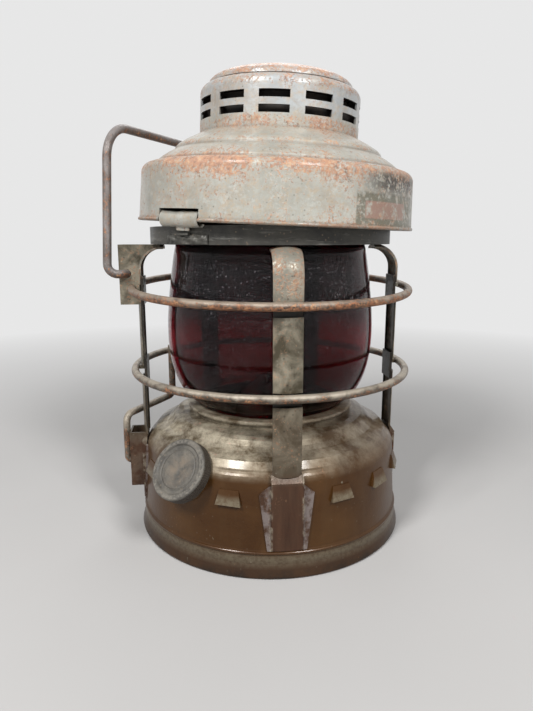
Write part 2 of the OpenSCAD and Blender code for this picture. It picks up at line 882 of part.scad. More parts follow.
// Skirt, rounded shoulder, shelf, and two convex tiers with a step below each
lid_line = concat(
  [[lid_r, skirt_z]],
  arc(skirt_top_r - lid_round, dome_z, lid_round, 0, 80),
  [
    [shelf_r, dome_z + lid_round + 0.4],
    [shelf_r - 0.6, dome_z + dome_h * 0.3],
    [shelf_r - 2.3, dome_z + dome_h * 0.37],
    [shelf_r - 5.4, dome_z + dome_h * 0.47],
    [tier_r + 1.4, dome_z + dome_h * 0.56],
    [tier_r + 0.6, dome_z + dome_h * 0.64],
    [tier_r - 0.6, dome_z + dome_h * 0.7],
    [chimney_r + 7.2, dome_z + dome_h * 0.81],
    [chimney_r + 3, dome_z + dome_h * 0.91],
    [chimney_r - sheet / 2, chimney_z]
  ]
);

latch_half = latch_w / 2;
latch_x = lid_r - 4.2;
latch_z = skirt_z + 2;
barrel_r = 2.9;
lug_w = 2.5;

module lid_shell() {
  color(grey) seated() difference() {
    union() {
      spun(lid_line);
      rotate_extrude() translate([lid_r - bead_r / 4, skirt_z + bead_r]) circle(bead_r);
    }
    cylinder(r = chimney_r, h = crown_z);
    rotate([0, 0, latch_az]) block(
      [lid_r - 8, -latch_half - 2 * gap, skirt_z - over],
      [lid_r + 2, latch_half + 2 * gap, skirt_z + 5.6]
    );
  }
}

baffle_in = collar_r - 11;

module lid_baffle() {
  fall = skirt_taper * (baffle_z + sheet - skirt_z) / skirt_h;
  color(grey) seated() translate([0, 0, baffle_z]) difference() {
    cylinder(r = lid_r - fall - sheet - 0.1, h = sheet);
    translate([0, 0, -over]) cylinder(r = baffle_in, h = sheet + 2 * over);
    rotate([0, 0, latch_az]) block(
      [latch_x - barrel_r - 2, -latch_half - lug_w - 1, -over],
      [lid_r, latch_half + lug_w + 1, sheet + over]
    );
  }
}

module draft_cone() {
  top_r = chimney_r - 5;
  foot_z = baffle_z + sheet;
  line = [
    [baffle_in + 4, foot_z],
    [baffle_in + 4, foot_z + 2],
    [top_r, dome_z],
    [top_r, chimney_z + chimney_h * 0.85]
  ];
  color(grey) seated() spun(line, 0.8);
}

chimney_round = 4.4;
crown_foot_r = chimney_r - chimney_round + 0.4;
crown_foot_z = crown_z + chimney_round + 0.35;

module chimney() {
  line = concat(
    [[chimney_r, chimney_z - 4]],
    arc(chimney_r - chimney_round, crown_z, chimney_round, 0, 70),
    [[crown_foot_r - 0.6, crown_z + chimney_round + 0.3]]
  );
  vent_low = chimney_z + chimney_h * 0.385;
  row_pitch = chimney_h * 0.348;
  vent_w = 2 * chimney_r * sin(60 / vents * 2);
  // Turn of the first vent away from +X
  vent_turn = 19;
  color(grey) seated() difference() {
    spun(line);
    for (row = [0, 1], i = [0 : vents - 1])
      rotate([0, 0, vent_turn + i * 360 / vents]) translate([chimney_r, 0, vent_low + row * row_pitch])
        cube([4 * over, vent_w, vent_h], center = true);
  }
}

module crown() {
  rise = crown_z + crown_h - crown_foot_z;
  color(rusty) seated() spun(
    [for (i = [0 : 10]) let (a = 90 * i / 10) [crown_foot_r * cos(a), crown_foot_z + rise * pow(sin(a), 0.9)]]
  );
}

// Lid hinge, on the far side from the latch

hinge_x = collar_r + 4.6;
hinge_z = collar_top - 3.2;
mid_knuckle = 8;
knuckle = 5;

module knuckle_at(y, len, bore) {
  translate([hinge_x, y, hinge_z]) rotate([-90, 0, 0]) difference() {
    cylinder(r = knuckle_r, h = len);
    translate([0, 0, -over]) cylinder(r = bore, h = len + 2 * over);
  }
}

module collar_hinge_leaf() {
  color(grey) rotate([0, 0, hinge_az]) {
    knuckle_at(-mid_knuckle / 2, mid_knuckle, hinge_pin_r);
    difference() {
      block(
        [collar_r - over, -mid_knuckle / 2, hinge_z - knuckle_r],
        [hinge_x, mid_knuckle / 2, hinge_z - hinge_pin_r]
      );
      cylinder(r = collar_r, h = collar_top);
      translate([hinge_x, -mid_knuckle, hinge_z]) rotate([-90, 0, 0])
        cylinder(r = hinge_pin_r, h = 2 * mid_knuckle);
    }
  }
}

module hinge_pin() {
  half = mid_knuckle / 2 + gap + knuckle + 0.5;
  color(grey) rotate([0, 0, hinge_az]) translate([hinge_x, -half, hinge_z]) rotate([-90, 0, 0])
    cylinder(r = hinge_pin_r, h = 2 * half);
}

module lid_hinge_leaf() {
  // Rise of the tilted lid at the hinge
  rise = (collar_r - (hinge_x - lid_shift) * cos(hinge_az - lean_az)) * tan(lid_tilt);
  leaf_top = baffle_z + rise - 1.2 * gap;
  from = mid_knuckle / 2 + gap;
  color(grey) rotate([0, 0, hinge_az]) for (side = [0, 1]) mirror([0, side, 0]) {
    knuckle_at(from, knuckle, hinge_pin_r + fit);
    difference() {
      block([hinge_x, from, hinge_z], [hinge_x + knuckle_r, from + knuckle, leaf_top]);
      translate([hinge_x, 0, hinge_z]) rotate([-90, 0, 0])
        cylinder(r = hinge_pin_r + fit, h = 2 * mid_knuckle);
    }
  }
}

// Latch: a lever on a pin in the lid's notch, whose toe goes under a keeper on the collar

keeper_z = skirt_z - 2.5;
toe_z = skirt_z - 4;

module latch_keeper() {
  half_angle = 4.5;
  color(grey) rotate([0, 0, latch_az - half_angle]) rotate_extrude(angle = 2 * half_angle)
    translate([collar_r, keeper_z]) square([2.4, sheet]);
}

module latch_bracket() {
  color(grey) seated() rotate([0, 0, latch_az]) for (side = [0, 1]) mirror([0, side, 0]) difference() {
    block(
      [latch_x - 2.5, latch_half + gap, skirt_z + 0.3],
      [latch_x + 1, latch_half + gap + lug_w, skirt_z + 5]
    );
    translate([latch_x, 0, latch_z]) rotate([-90, 0, 0]) cylinder(r = hinge_pin_r, h = latch_w);
  }
}

module latch_pin() {
  half = latch_half + gap + lug_w;
  color(grey) seated() rotate([0, 0, latch_az]) translate([latch_x, -half, latch_z]) rotate([-90, 0, 0])
    cylinder(r = hinge_pin_r, h = 2 * half);
}

module latch_lever() {
  arm_half = 4;
  face_x = latch_x + barrel_r;
  color(grey) seated() rotate([0, 0, latch_az]) difference() {
    union() {
      translate([latch_x, -latch_half, latch_z]) rotate([-90, 0, 0]) cylinder(r = barrel_r, h = latch_w);
      block([latch_x + 1.5, -latch_half, skirt_z - 2.6], [face_x + 0.6, latch_half, latch_z]);
      block([latch_x, -latch_half, latch_z - 1], [face_x + 0.6, latch_half, skirt_z + 4.4]);
      block([latch_x - 0.6, -arm_half, toe_z], [latch_x + 0.6, arm_half, latch_z]);
      block([collar_r + lid_shift + 0.7, -arm_half, toe_z], [latch_x + 0.6, arm_half, toe_z + sheet]);
    }
    translate([latch_x, -latch_w, latch_z]) rotate([-90, 0, 0])
      cylinder(r = hinge_pin_r + fit, h = 2 * latch_w);
  }
}

base_shell();
foot_rim();
bottom_pan();
oil_tank();
filler_neck();
filler_washer();
filler_cap();
strap(front_az);  // strap_front
strap(right_az);  // strap_right
strap(rear_right_az);  // strap_rear_right
strap(rear_left_az);  // strap_rear_left
strap(left_az);  // strap_left
guard_ring_upper();
guard_ring_lower();
collar();
globe_clips();
ear_left();
ear_rear();
bail();
stay_bracket();
stay_wire();
gallery_ring();
globe();
burner_collar();
burner_body();
wick_tube();
burner_dome();
wick();
wick_shaft();
wick_knob();
shaft_bush();
collar_hinge_leaf();
hinge_pin();
lid_hinge_leaf();
latch_keeper();
lid_shell();
lid_baffle();
draft_cone();
chimney();
crown();
latch_bracket();
latch_pin();
latch_lever();
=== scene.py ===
"""Looks of the wire-guarded kerosene lantern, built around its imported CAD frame. Metres, +Z up."""
import math

import bpy
import numpy as np
from mathutils import Matrix, Vector


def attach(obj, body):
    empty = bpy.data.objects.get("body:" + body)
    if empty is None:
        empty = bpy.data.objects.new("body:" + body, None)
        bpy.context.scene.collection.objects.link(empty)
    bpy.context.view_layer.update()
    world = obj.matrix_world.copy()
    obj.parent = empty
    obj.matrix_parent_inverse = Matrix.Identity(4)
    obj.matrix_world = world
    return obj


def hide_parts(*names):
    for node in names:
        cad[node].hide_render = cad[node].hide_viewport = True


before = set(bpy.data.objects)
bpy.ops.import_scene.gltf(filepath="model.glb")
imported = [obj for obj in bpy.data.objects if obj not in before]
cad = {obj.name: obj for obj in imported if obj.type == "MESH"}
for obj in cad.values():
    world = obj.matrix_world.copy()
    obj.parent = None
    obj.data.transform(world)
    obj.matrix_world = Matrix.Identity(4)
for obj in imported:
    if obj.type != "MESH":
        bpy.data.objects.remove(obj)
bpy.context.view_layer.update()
scene = bpy.context.scene
MM = 0.001
TAU = 2 * math.pi

# Camera, from the fit to the guard rings and the base: a 533 x 711 image with a focal length of 560 pixels
CAMERA_AT = Vector((-0.0358, -0.3072, 0.1572))
CAMERA_LOOK = Vector((0.1074, 0.9729, -0.2049))
FOCAL_PIXELS, IMAGE_LONG_SIDE = 560, 711
SENSOR = 36.0
camera_data = bpy.data.cameras.new("camera")
camera_data.sensor_width = SENSOR
camera_data.lens = FOCAL_PIXELS / IMAGE_LONG_SIDE * SENSOR
camera_data.clip_start = 0.01
camera = bpy.data.objects.new("camera", camera_data)
camera.location = CAMERA_AT
camera.rotation_euler = CAMERA_LOOK.to_track_quat("-Z", "Y").to_euler()
scene.collection.objects.link(camera)
scene.camera = camera
scene.view_settings.view_transform = "Standard"


# Shapes

def mesh_piece(name, points, faces, material, smooth_below=40):
    """Object made of an array of points and a list of faces, shaded smooth below an edge angle in degrees."""
    mesh = bpy.data.meshes.new(name)
    mesh.from_pydata(np.asarray(points).reshape(-1, 3).tolist(), [], faces)
    mesh.update()
    mesh.shade_smooth()
    mesh.set_sharp_from_angle(angle=math.radians(smooth_below))
    mesh.materials.append(material)
    piece = bpy.data.objects.new(name, mesh)
    scene.collection.objects.link(piece)
    return piece


def grid_faces(rows, columns, wrap_rows=False, wrap_columns=False):
    """Quads of a grid of points: each joins point (i, j) to the next row and column, with wrapped ends if asked."""
    i = np.arange(rows if wrap_rows else rows - 1)
    j = np.arange(columns if wrap_columns else columns - 1)
    i, j = np.meshgrid(i, j, indexing="ij")
    up, across = (i + 1) % rows, (j + 1) % columns
    quads = np.stack([i * columns + j, i * columns + across, up * columns + across, up * columns + j], -1)
    return quads.reshape(-1, 4).tolist()


def turned(name, outline, material, steps=160):
    """Closed outline of (radius, height) carried round the Z axis: point (r, z) at angle a goes to
    (r cos a, r sin a, z). The outline runs anticlockwise seen with the radius to the right, so that faces point
    outwards."""
    outline = np.asarray(outline, float)
    a = np.arange(steps) * TAU / steps
    r, z = outline[:, 0][:, None], outline[:, 1][:, None]
    points = np.stack([r * np.cos(a), r * np.sin(a), z + 0 * a], -1)
    return mesh_piece(name, points, grid_faces(len(outline), steps, wrap_rows=True, wrap_columns=True), material)


def swept(name, rings, material, smooth_below=60):
    """Closed piece from an array of rings: ring i is joined to ring i + 1, and the first and last ring are capped.
    Rings run anticlockwise seen from the end the rings go towards."""
    count, around = rings.shape[:2]
    last = (count - 1) * around
    caps = [list(range(around))[::-1], list(range(last, last + around))]
    faces = grid_faces(count, around, wrap_columns=True) + caps
    return mesh_piece(name, rings, faces, material, smooth_below)


def rounded_route(corners, radii, steps=12):
    """Route through corners with each inner corner replaced by a circular bend: the bend starts its radius times
    tan(half the turn) before the corner and turns from one heading to the next."""
    corners = np.asarray(corners, float)
    route = [corners[:1]]
    for before, at, after, r in zip(corners[:-2], corners[1:-1], corners[2:], radii):
        onward = (at - before) / np.linalg.norm(at - before)
        leaving = (after - at) / np.linalg.norm(after - at)
        turn = math.acos(float(np.clip(onward @ leaving, -1, 1)))
        inward = leaving - onward * (leaving @ onward)
        inward /= np.linalg.norm(inward)
        a = np.linspace(0, turn, steps)[:, None]
        start = at - onward * r * math.tan(turn / 2)
        route.append(start + inward * r * (1 - np.cos(a)) + onward * r * np.sin(a))
    route.append(corners[-1:])
    return np.concatenate(route)


def resampled(route, spacing):
    """Points at even steps of arc length along a route."""
    length = np.concatenate([[0], np.cumsum(np.linalg.norm(np.diff(route, axis=0), axis=1))])
    at = np.linspace(0, length[-1], max(int(length[-1] / spacing), 8))
    return np.stack([np.interp(at, length, route[:, k]) for k in range(3)], -1)


def wire(name, route, radius, out, material, sides=20):
    """Round wire: a circle of the radius carried square to the route, with three shrinking rings at each end.
    The circle's first direction is the given outward direction less its part along the heading."""
    heading = np.gradient(route, axis=0)
    heading /= np.linalg.norm(heading, axis=1)[:, None]
    dome = np.radians([30, 60, 85])[:, None]
    low = route[0] - heading[0] * radius * 0.5 * np.sin(dome[::-1])
    high = route[-1] + heading[-1] * radius * 0.5 * np.sin(dome)
    line = np.concatenate([low, route, high])
    size = np.concatenate([np.cos(dome[::-1, 0]), np.ones(len(route)), np.cos(dome[:, 0])]) * radius
    heading = np.concatenate([np.repeat(heading[:1], 3, 0), heading, np.repeat(heading[-1:], 3, 0)])
    first = out - heading * (heading @ out)[:, None]
    first /= np.linalg.norm(first, axis=1)[:, None]
    second = np.cross(heading, first)
    a = (np.arange(sides) * TAU / sides)[:, None]
    rings = line[:, None] + size[:, None, None] * (first[:, None] * np.cos(a) + second[:, None] * np.sin(a))
    return swept(name, rings, material)


# Shader building

class Graph:
    """Short way to put nodes into a node tree and join them."""

    def __init__(self, tree):
        self.tree = tree

    def put(self, kind, inputs=None, **settings):
        made = self.tree.nodes.new(kind)
        for key, value in settings.items():
            setattr(made, key, value)
        for key, value in (inputs or {}).items():
            self.feed(made.inputs[key], value)
        return made

    def feed(self, socket, value):
        if isinstance(value, bpy.types.NodeSocket):
            self.tree.links.new(value, socket)
        else:
            socket.default_value = value

    def math(self, operation, a, b=0.0, clamp=False):
        return self.put("ShaderNodeMath", {0: a, 1: b}, operation=operation, use_clamp=clamp).outputs[0]

    def times(self, a, b):
        return self.math("MULTIPLY", a, b)

    def plus(self, a, b):
        return self.math("ADD", a, b)

    def mix(self, share, a, b):
        made = self.put("ShaderNodeMix", {0: share, 6: a, 7: b}, data_type="RGBA")
        return made.outputs[2]

    def between(self, value, low, high, out_low=0.0, out_high=1.0):
        made = self.put("ShaderNodeMapRange", {0: value, 1: low, 2: high, 3: out_low, 4: out_high}, clamp=True)
        return made.outputs[0]

    def over(self, under, mask, strength, color):
        """Colour laid over another one where the mask is, at a strength."""
        return self.mix(self.times(mask, strength), under, color)

    def band(self, value, rise, fall, level=1.0):
        """Level in a band of the value: it comes up over the rise (from, to) and goes down over the fall (from, to)."""
        return self.times(self.between(value, *rise), self.between(value, *fall, level, 0.0))

    def ramp(self, value, stops):
        made = self.put("ShaderNodeValToRGB", {0: value})
        band = made.color_ramp.elements
        while len(band) < len(stops):
            band.new(0.5)
        for element, (at, level) in zip(band, stops):
            element.position = at
            element.color = (level, level, level, 1)
        return made.outputs[0]

    def noise(self, vector, scale, detail=4.0, rough=0.55, distort=0.0):
        inputs = {"Vector": vector, "Scale": scale, "Detail": detail, "Roughness": rough, "Distortion": distort}
        return self.put("ShaderNodeTexNoise", inputs).outputs[0]

    def dots(self, vector, scale, share, inner, outer):
        """Round dots, one in a share of the cells of a Voronoi pattern."""
        cells = self.put("ShaderNodeTexVoronoi", {"Vector": vector, "Scale": scale})
        chosen = self.put("ShaderNodeSeparateColor", {0: cells.outputs["Color"]}).outputs[0]
        picked = self.math("LESS_THAN", chosen, share)
        return self.times(picked, self.between(cells.outputs["Distance"], inner, outer, 1.0, 0.0))

    def background_rays(self):
        """1 for the rays that show the background: straight from the camera, in gloss and through glass."""
        path = self.put("ShaderNodeLightPath").outputs
        shown = self.math("MAXIMUM", path["Is Camera Ray"], path["Is Glossy Ray"])
        return self.math("MAXIMUM", shown, path["Is Transmission Ray"])

    def part(self, vector, axis):
        return self.put("ShaderNodeSeparateXYZ", {0: vector}).outputs[axis]

    def place(self, turn=(0, 0, 0), shift=(0, 0, 0)):
        coords = self.put("ShaderNodeTexCoord").outputs["Object"]
        return self.moved(coords, turn, shift)

    def moved(self, vector, turn=(0, 0, 0), shift=(0, 0, 0)):
        return self.put("ShaderNodeMapping", {"Vector": vector, "Rotation": turn, "Location": shift}).outputs[0]


def rgb(red, green, blue):
    return (red, green, blue, 1.0)


def group(name, inputs, outputs):
    """Empty shader node group with named inputs and outputs; returns its graph, input node and output node."""
    tree = bpy.data.node_groups.new(name, "ShaderNodeTree")
    for socket, value in inputs.items():
        kind = "NodeSocketVector" if isinstance(value, tuple) else "NodeSocketFloat"
        made = tree.interface.new_socket(socket, in_out="INPUT", socket_type=kind)
        made.default_value = value
    for socket, kind in outputs.items():
        tree.interface.new_socket(socket, in_out="OUTPUT", socket_type=kind)
    g = Graph(tree)
    return g, g.put("NodeGroupInput"), g.put("NodeGroupOutput")


def make_grime_group():
    """Old-metal unevenness: broad blotches, fine grain, scattered specks and streaks that run down."""
    g, given, out = group(
        "grime",
        {"Vector": (0.0, 0.0, 0.0), "Blotch size": 45.0, "Speck density": 0.25},
        {name: "NodeSocketFloat" for name in ("Blotch", "Grain", "Specks", "Streaks")},
    )
    vector = given.outputs["Vector"]
    drawn_out = g.put("ShaderNodeMapping", {"Vector": vector, "Scale": (1.0, 1.0, 0.12)}).outputs[0]
    g.feed(out.inputs["Blotch"], g.noise(vector, given.outputs["Blotch size"], 5.0, 0.6, 0.4))
    g.feed(out.inputs["Grain"], g.noise(vector, 620.0, 3.0, 0.6))
    g.feed(out.inputs["Specks"], g.dots(vector, 640.0, given.outputs["Speck density"], 0.10, 0.32))
    g.feed(out.inputs["Streaks"], g.noise(drawn_out, 190.0, 4.0, 0.6, 0.3))
    return g.tree


def make_rust_group():
    """Rust that breaks through paint: a speckled mask that grows with the amount, and its own uneven colour."""
    g, given, out = group(
        "rust",
        {"Vector": (0.0, 0.0, 0.0), "Amount": 0.3},
        {"Mask": "NodeSocketFloat", "Color": "NodeSocketColor", "Height": "NodeSocketFloat"},
    )
    vector = given.outputs["Vector"]
    patches = g.noise(vector, 95.0, 6.0, 0.7, 0.6)
    pits = g.noise(vector, 820.0, 4.0, 0.8)
    level = g.plus(g.times(patches, 0.32), g.times(pits, 0.68))
    edge = g.between(given.outputs["Amount"], 0.0, 1.0, 0.66, 0.36)
    mask = g.between(g.math("SUBTRACT", level, edge), -0.03, 0.05)
    tone = g.noise(vector, 380.0, 5.0, 0.7)
    color = g.mix(g.between(tone, 0.34, 0.50), rgb(0.12, 0.060, 0.032), rgb(0.40, 0.170, 0.080))
    color = g.mix(g.between(tone, 0.52, 0.66), color, rgb(0.54, 0.32, 0.17))
    g.feed(out.inputs["Mask"], mask)
    g.feed(out.inputs["Color"], color)
    g.feed(out.inputs["Height"], pits)
    return g.tree


grime_group = make_grime_group()
rust_group = make_rust_group()


def new_material(name):
    """Material with a Principled surface; returns it, its graph and that surface node."""
    material = bpy.data.materials.new(name)
    material.use_nodes = True
    g = Graph(material.node_tree)
    surface = next(n for n in g.tree.nodes if n.type == "BSDF_PRINCIPLED")
    return material, g, surface


def use_group(g, tree, **inputs):
    made = g.put("ShaderNodeGroup", node_tree=tree)
    for key, value in inputs.items():
        g.feed(made.inputs[key.replace("_", " ")], value)
    return made.outputs


def bumped(g, surface, height, strength, distance):
    bump = g.put("ShaderNodeBump", {"Height": height, "Strength": strength, "Distance": distance})
    g.feed(surface.inputs["Normal"], bump.outputs[0])


# Rust by height in millimetres up the lid's own axis: rim, skirt top, steps of the dome, chimney foot, round, crown
LID_RIDGES = [
    (160, 0.30), (161.6, 0.66), (163.2, 0.44), (166, 0.30), (177, 0.32), (181, 0.44), (184.5, 0.60), (187.5, 0.68),
    (189.3, 0.56), (191.0, 0.44), (193.5, 0.34), (196.2, 0.32), (197.6, 0.48), (199, 0.32), (202, 0.30), (204, 0.42),
    (205.6, 0.48), (208.5, 0.52), (211.0, 0.24), (213, 0.12), (219, 0.14), (222, 0.34), (225, 0.52), (228, 0.48),
    (231, 0.66), (234, 0.72), (237, 0.68), (244, 0.68),
]
# Dirt and painted shade in the creases at the same scale: rolled rim, foot of the dome's two rises, chimney foot,
# crown foot
LID_DIRT_AND_SHADE = [
    (160, 0.55), (162.4, 0.50), (163.6, 0.0), (188.9, 0.0), (189.6, 0.65), (190.5, 0.0), (195.4, 0.0), (196.4, 0.55),
    (197.5, 0.0), (203.6, 0.0), (205.0, 0.3), (206.0, 0.0), (227.2, 0.0), (228.2, 0.7), (228.9, 0.0), (244, 0.0),
]
LID_LOW, LID_HIGH = 160, 244
# Rust of the latch and the hinge, and the point that the lid's inner faces look at
EVEN_RUST = 0.24
LID_MIDDLE = (0.0, 0.0, 0.150)
# The lid leans about the collar's edge and is shifted sideways: from the upright lid to its seat, and back
LEAN_AZ, LEAN_ANGLE = math.radians(-31.5), math.radians(2.58)
COLLAR_EDGE_R, COLLAR_EDGE_Z = 63.4 * MM, 162.8 * MM
LEAN_EDGE = Vector((COLLAR_EDGE_R * math.cos(LEAN_AZ), COLLAR_EDGE_R * math.sin(LEAN_AZ), COLLAR_EDGE_Z))
LEAN = Matrix.Rotation(LEAN_ANGLE, 4, (-math.sin(LEAN_AZ), math.cos(LEAN_AZ), 0))
LID_SHIFT = Vector((2.7 * MM, 0, 0))
LID_SEAT = Matrix.Translation(LID_SHIFT + LEAN_EDGE) @ LEAN @ Matrix.Translation(-LEAN_EDGE)
LID_BACK = LID_SEAT.inverted()


def by_lid_height(g, height, table):
    """Value by height in millimetres up the lid's own axis, from a table of (height, value)."""
    span = LID_HIGH - LID_LOW
    return g.ramp(g.between(height, LID_LOW, LID_HIGH), [((h - LID_LOW) / span, v) for h, v in table])


def make_lid_paint(name, ridged):
    """Thin pale grey paint on the lid, with speckled rust along its steps and edges by height up the lid's own axis,
    faint brown stains, colder grey about the vents, dark flaking on the right of the skirt's round and, below it, a
    plain worn label. Faces that look back at the lid's middle are sooty. Without ridges, rust is even all over."""
    material, g, surface = new_material(name)
    place = g.place(turn=LID_BACK.to_euler(), shift=LID_BACK.to_translation())
    height = g.times(g.part(place, "Z"), 1000.0)
    grime = use_group(g, grime_group, Vector=place, Blotch_size=38.0, Speck_density=0.12)
    ridges = by_lid_height(g, height, LID_RIDGES) if ridged else EVEN_RUST
    amount = g.plus(ridges, g.between(grime["Blotch"], 0.3, 0.7, -0.22, 0.20))
    rust = use_group(g, rust_group, Vector=place, Amount=amount)
    paint = g.mix(g.between(grime["Blotch"], 0.35, 0.68), rgb(0.30, 0.295, 0.255), rgb(0.44, 0.435, 0.39))
    paint = g.over(paint, g.between(height, 209, 214), 0.75, rgb(0.39, 0.415, 0.435))
    paint = g.over(paint, g.between(grime["Streaks"], 0.52, 0.72), 0.3, rgb(0.50, 0.49, 0.45))
    paint = g.over(paint, g.between(grime["Grain"], 0.35, 0.7), 0.22, rgb(0.21, 0.195, 0.165))
    stain = g.between(g.noise(place, 42.0, 6.0, 0.75, 0.5), 0.50, 0.68)
    paint = g.over(paint, stain, 0.65, rgb(0.26, 0.19, 0.12))
    ochre = g.between(g.noise(place, 300.0, 5.0, 0.8), 0.50, 0.60)
    paint = g.over(paint, ochre, 0.42, rgb(0.42, 0.30, 0.185))
    bloom = g.between(g.noise(place, 210.0, 5.0, 0.8), 0.54, 0.64)
    paint = g.over(paint, bloom, 0.4, rgb(0.50, 0.50, 0.47))
    paint = g.over(paint, grime["Specks"], 0.6, rgb(0.07, 0.055, 0.045))
    color = g.over(paint, rust["Mask"], 0.8, rust["Color"])
    aside = g.part(place, "X")
    right = g.times(g.between(aside, 0.026, 0.042), g.between(g.part(place, "Y"), 0.010, -0.006))
    if ridged:
        # Creases darkened partly by dirt and partly by painted shade: rolled rim, foot of the dome's rises, chimney and
        # crown foot
        dirt = g.times(by_lid_height(g, height, LID_DIRT_AND_SHADE), g.between(grime["Blotch"], 0.3, 0.6, 0.35, 1.0))
        color = g.mix(dirt, color, rgb(0.11, 0.082, 0.060))
        label = g.times(g.between(aside, 0.0262, 0.0270), g.between(g.part(place, "Y"), -0.012, -0.016))
        label = g.times(label, g.band(height, (162.2, 163.0), (176.0, 177.2)))
        panel = g.band(aside, (0.0308, 0.0312), (0.0548, 0.0552))
        panel = g.times(panel, g.band(height, (165.4, 165.8), (172.8, 173.2)))
        label_color = g.mix(g.times(panel, 0.8), rgb(0.105, 0.098, 0.064), rgb(0.30, 0.150, 0.110))
        left_over = g.between(g.noise(place, 260.0, 5.0, 0.75), 0.40, 0.50)
        color = g.over(color, g.times(label, left_over), 0.8, label_color)
    flaking = g.times(g.band(height, (174, 180), (184, 187)), right)
    flaking = g.times(flaking, g.between(g.noise(place, 430.0, 5.0, 0.8), 0.44, 0.49))
    color = g.over(color, flaking, 0.9, rgb(0.035, 0.026, 0.020))
    if ridged:
        outward = g.put("ShaderNodeVectorMath", {0: place, 1: LID_MIDDLE}, operation="SUBTRACT").outputs[0]
        outward = g.put("ShaderNodeVectorMath", {0: outward}, operation="NORMALIZE").outputs[0]
        facing = g.put("ShaderNodeTexCoord").outputs["Normal"]
        facing = g.put("ShaderNodeVectorMath", {0: outward, 1: facing}, operation="DOT_PRODUCT").outputs["Value"]
        inside = g.between(facing, -0.35, -0.22, 0.94, 0.0)
        color = g.mix(inside, color, g.mix(grime["Blotch"], rgb(0.010, 0.009, 0.008), rgb(0.034, 0.024, 0.017)))
    g.feed(surface.inputs["Base Color"], color)
    rough = g.between(rust["Mask"], 0.0, 1.0, 0.36, 0.60)
    surface.inputs["Coat Weight"].default_value = 0.22
    if ridged:
        rough = g.math("MAXIMUM", rough, g.times(inside, 0.95))
        g.feed(surface.inputs["Coat Weight"], g.between(inside, 0.0, 0.9, 0.22, 0.0))
    g.feed(surface.inputs["Roughness"], rough)
    g.feed(surface.inputs["Metallic"], g.between(rust["Mask"], 0.0, 1.0, 0.22, 0.0))
    surface.inputs["Coat Roughness"].default_value = 0.16
    relief = g.plus(g.times(rust["Height"], rust["Mask"]), g.times(grime["Grain"], 0.3))
    relief = g.plus(relief, g.times(grime["Blotch"], 0.8))
    bumped(g, surface, relief, 0.45, 0.0005)
    return material


def make_soot():
    """Sooty, rusty-brown sheet inside the lid and at the globe's rim; on the lid's lip and the cone ribs its near-black
    also stands as painted shade in the gaps.
    """
    material, g, surface = new_material("soot_and_shade")
    place = g.place()
    grime = use_group(g, grime_group, Vector=place, Blotch_size=60.0, Speck_density=0.2)
    color = g.mix(g.between(grime["Blotch"], 0.4, 0.7), rgb(0.010, 0.009, 0.008), rgb(0.038, 0.026, 0.018))
    g.feed(surface.inputs["Base Color"], g.over(color, grime["Specks"], 0.4, rgb(0.08, 0.05, 0.03)))
    surface.inputs["Roughness"].default_value = 0.85
    bumped(g, surface, grime["Grain"], 0.4, 0.0004)
    return material


def make_collar_dark():
    """Dark collar under the lid: near-black old paint, scuffed to grey metal in short level scratches."""
    material, g, surface = new_material("collar_dark")
    place = g.place()
    grime = use_group(g, grime_group, Vector=place, Blotch_size=70.0, Speck_density=0.2)
    flat = g.put("ShaderNodeMapping", {"Vector": place, "Scale": (0.25, 0.25, 2.0)}).outputs[0]
    scuffs = g.between(g.noise(flat, 160.0, 5.0, 0.7), 0.54, 0.68)
    color = g.mix(g.between(grime["Blotch"], 0.35, 0.65), rgb(0.026, 0.025, 0.022), rgb(0.072, 0.068, 0.058))
    color = g.over(color, scuffs, 0.6, rgb(0.23, 0.225, 0.20))
    color = g.over(color, grime["Specks"], 0.5, rgb(0.30, 0.22, 0.15))
    g.feed(surface.inputs["Base Color"], color)
    g.feed(surface.inputs["Roughness"], g.between(grime["Blotch"], 0.3, 0.7, 0.32, 0.55))
    surface.inputs["Metallic"].default_value = 0.4
    bumped(g, surface, g.plus(grime["Grain"], scuffs), 0.35, 0.0003)
    return material


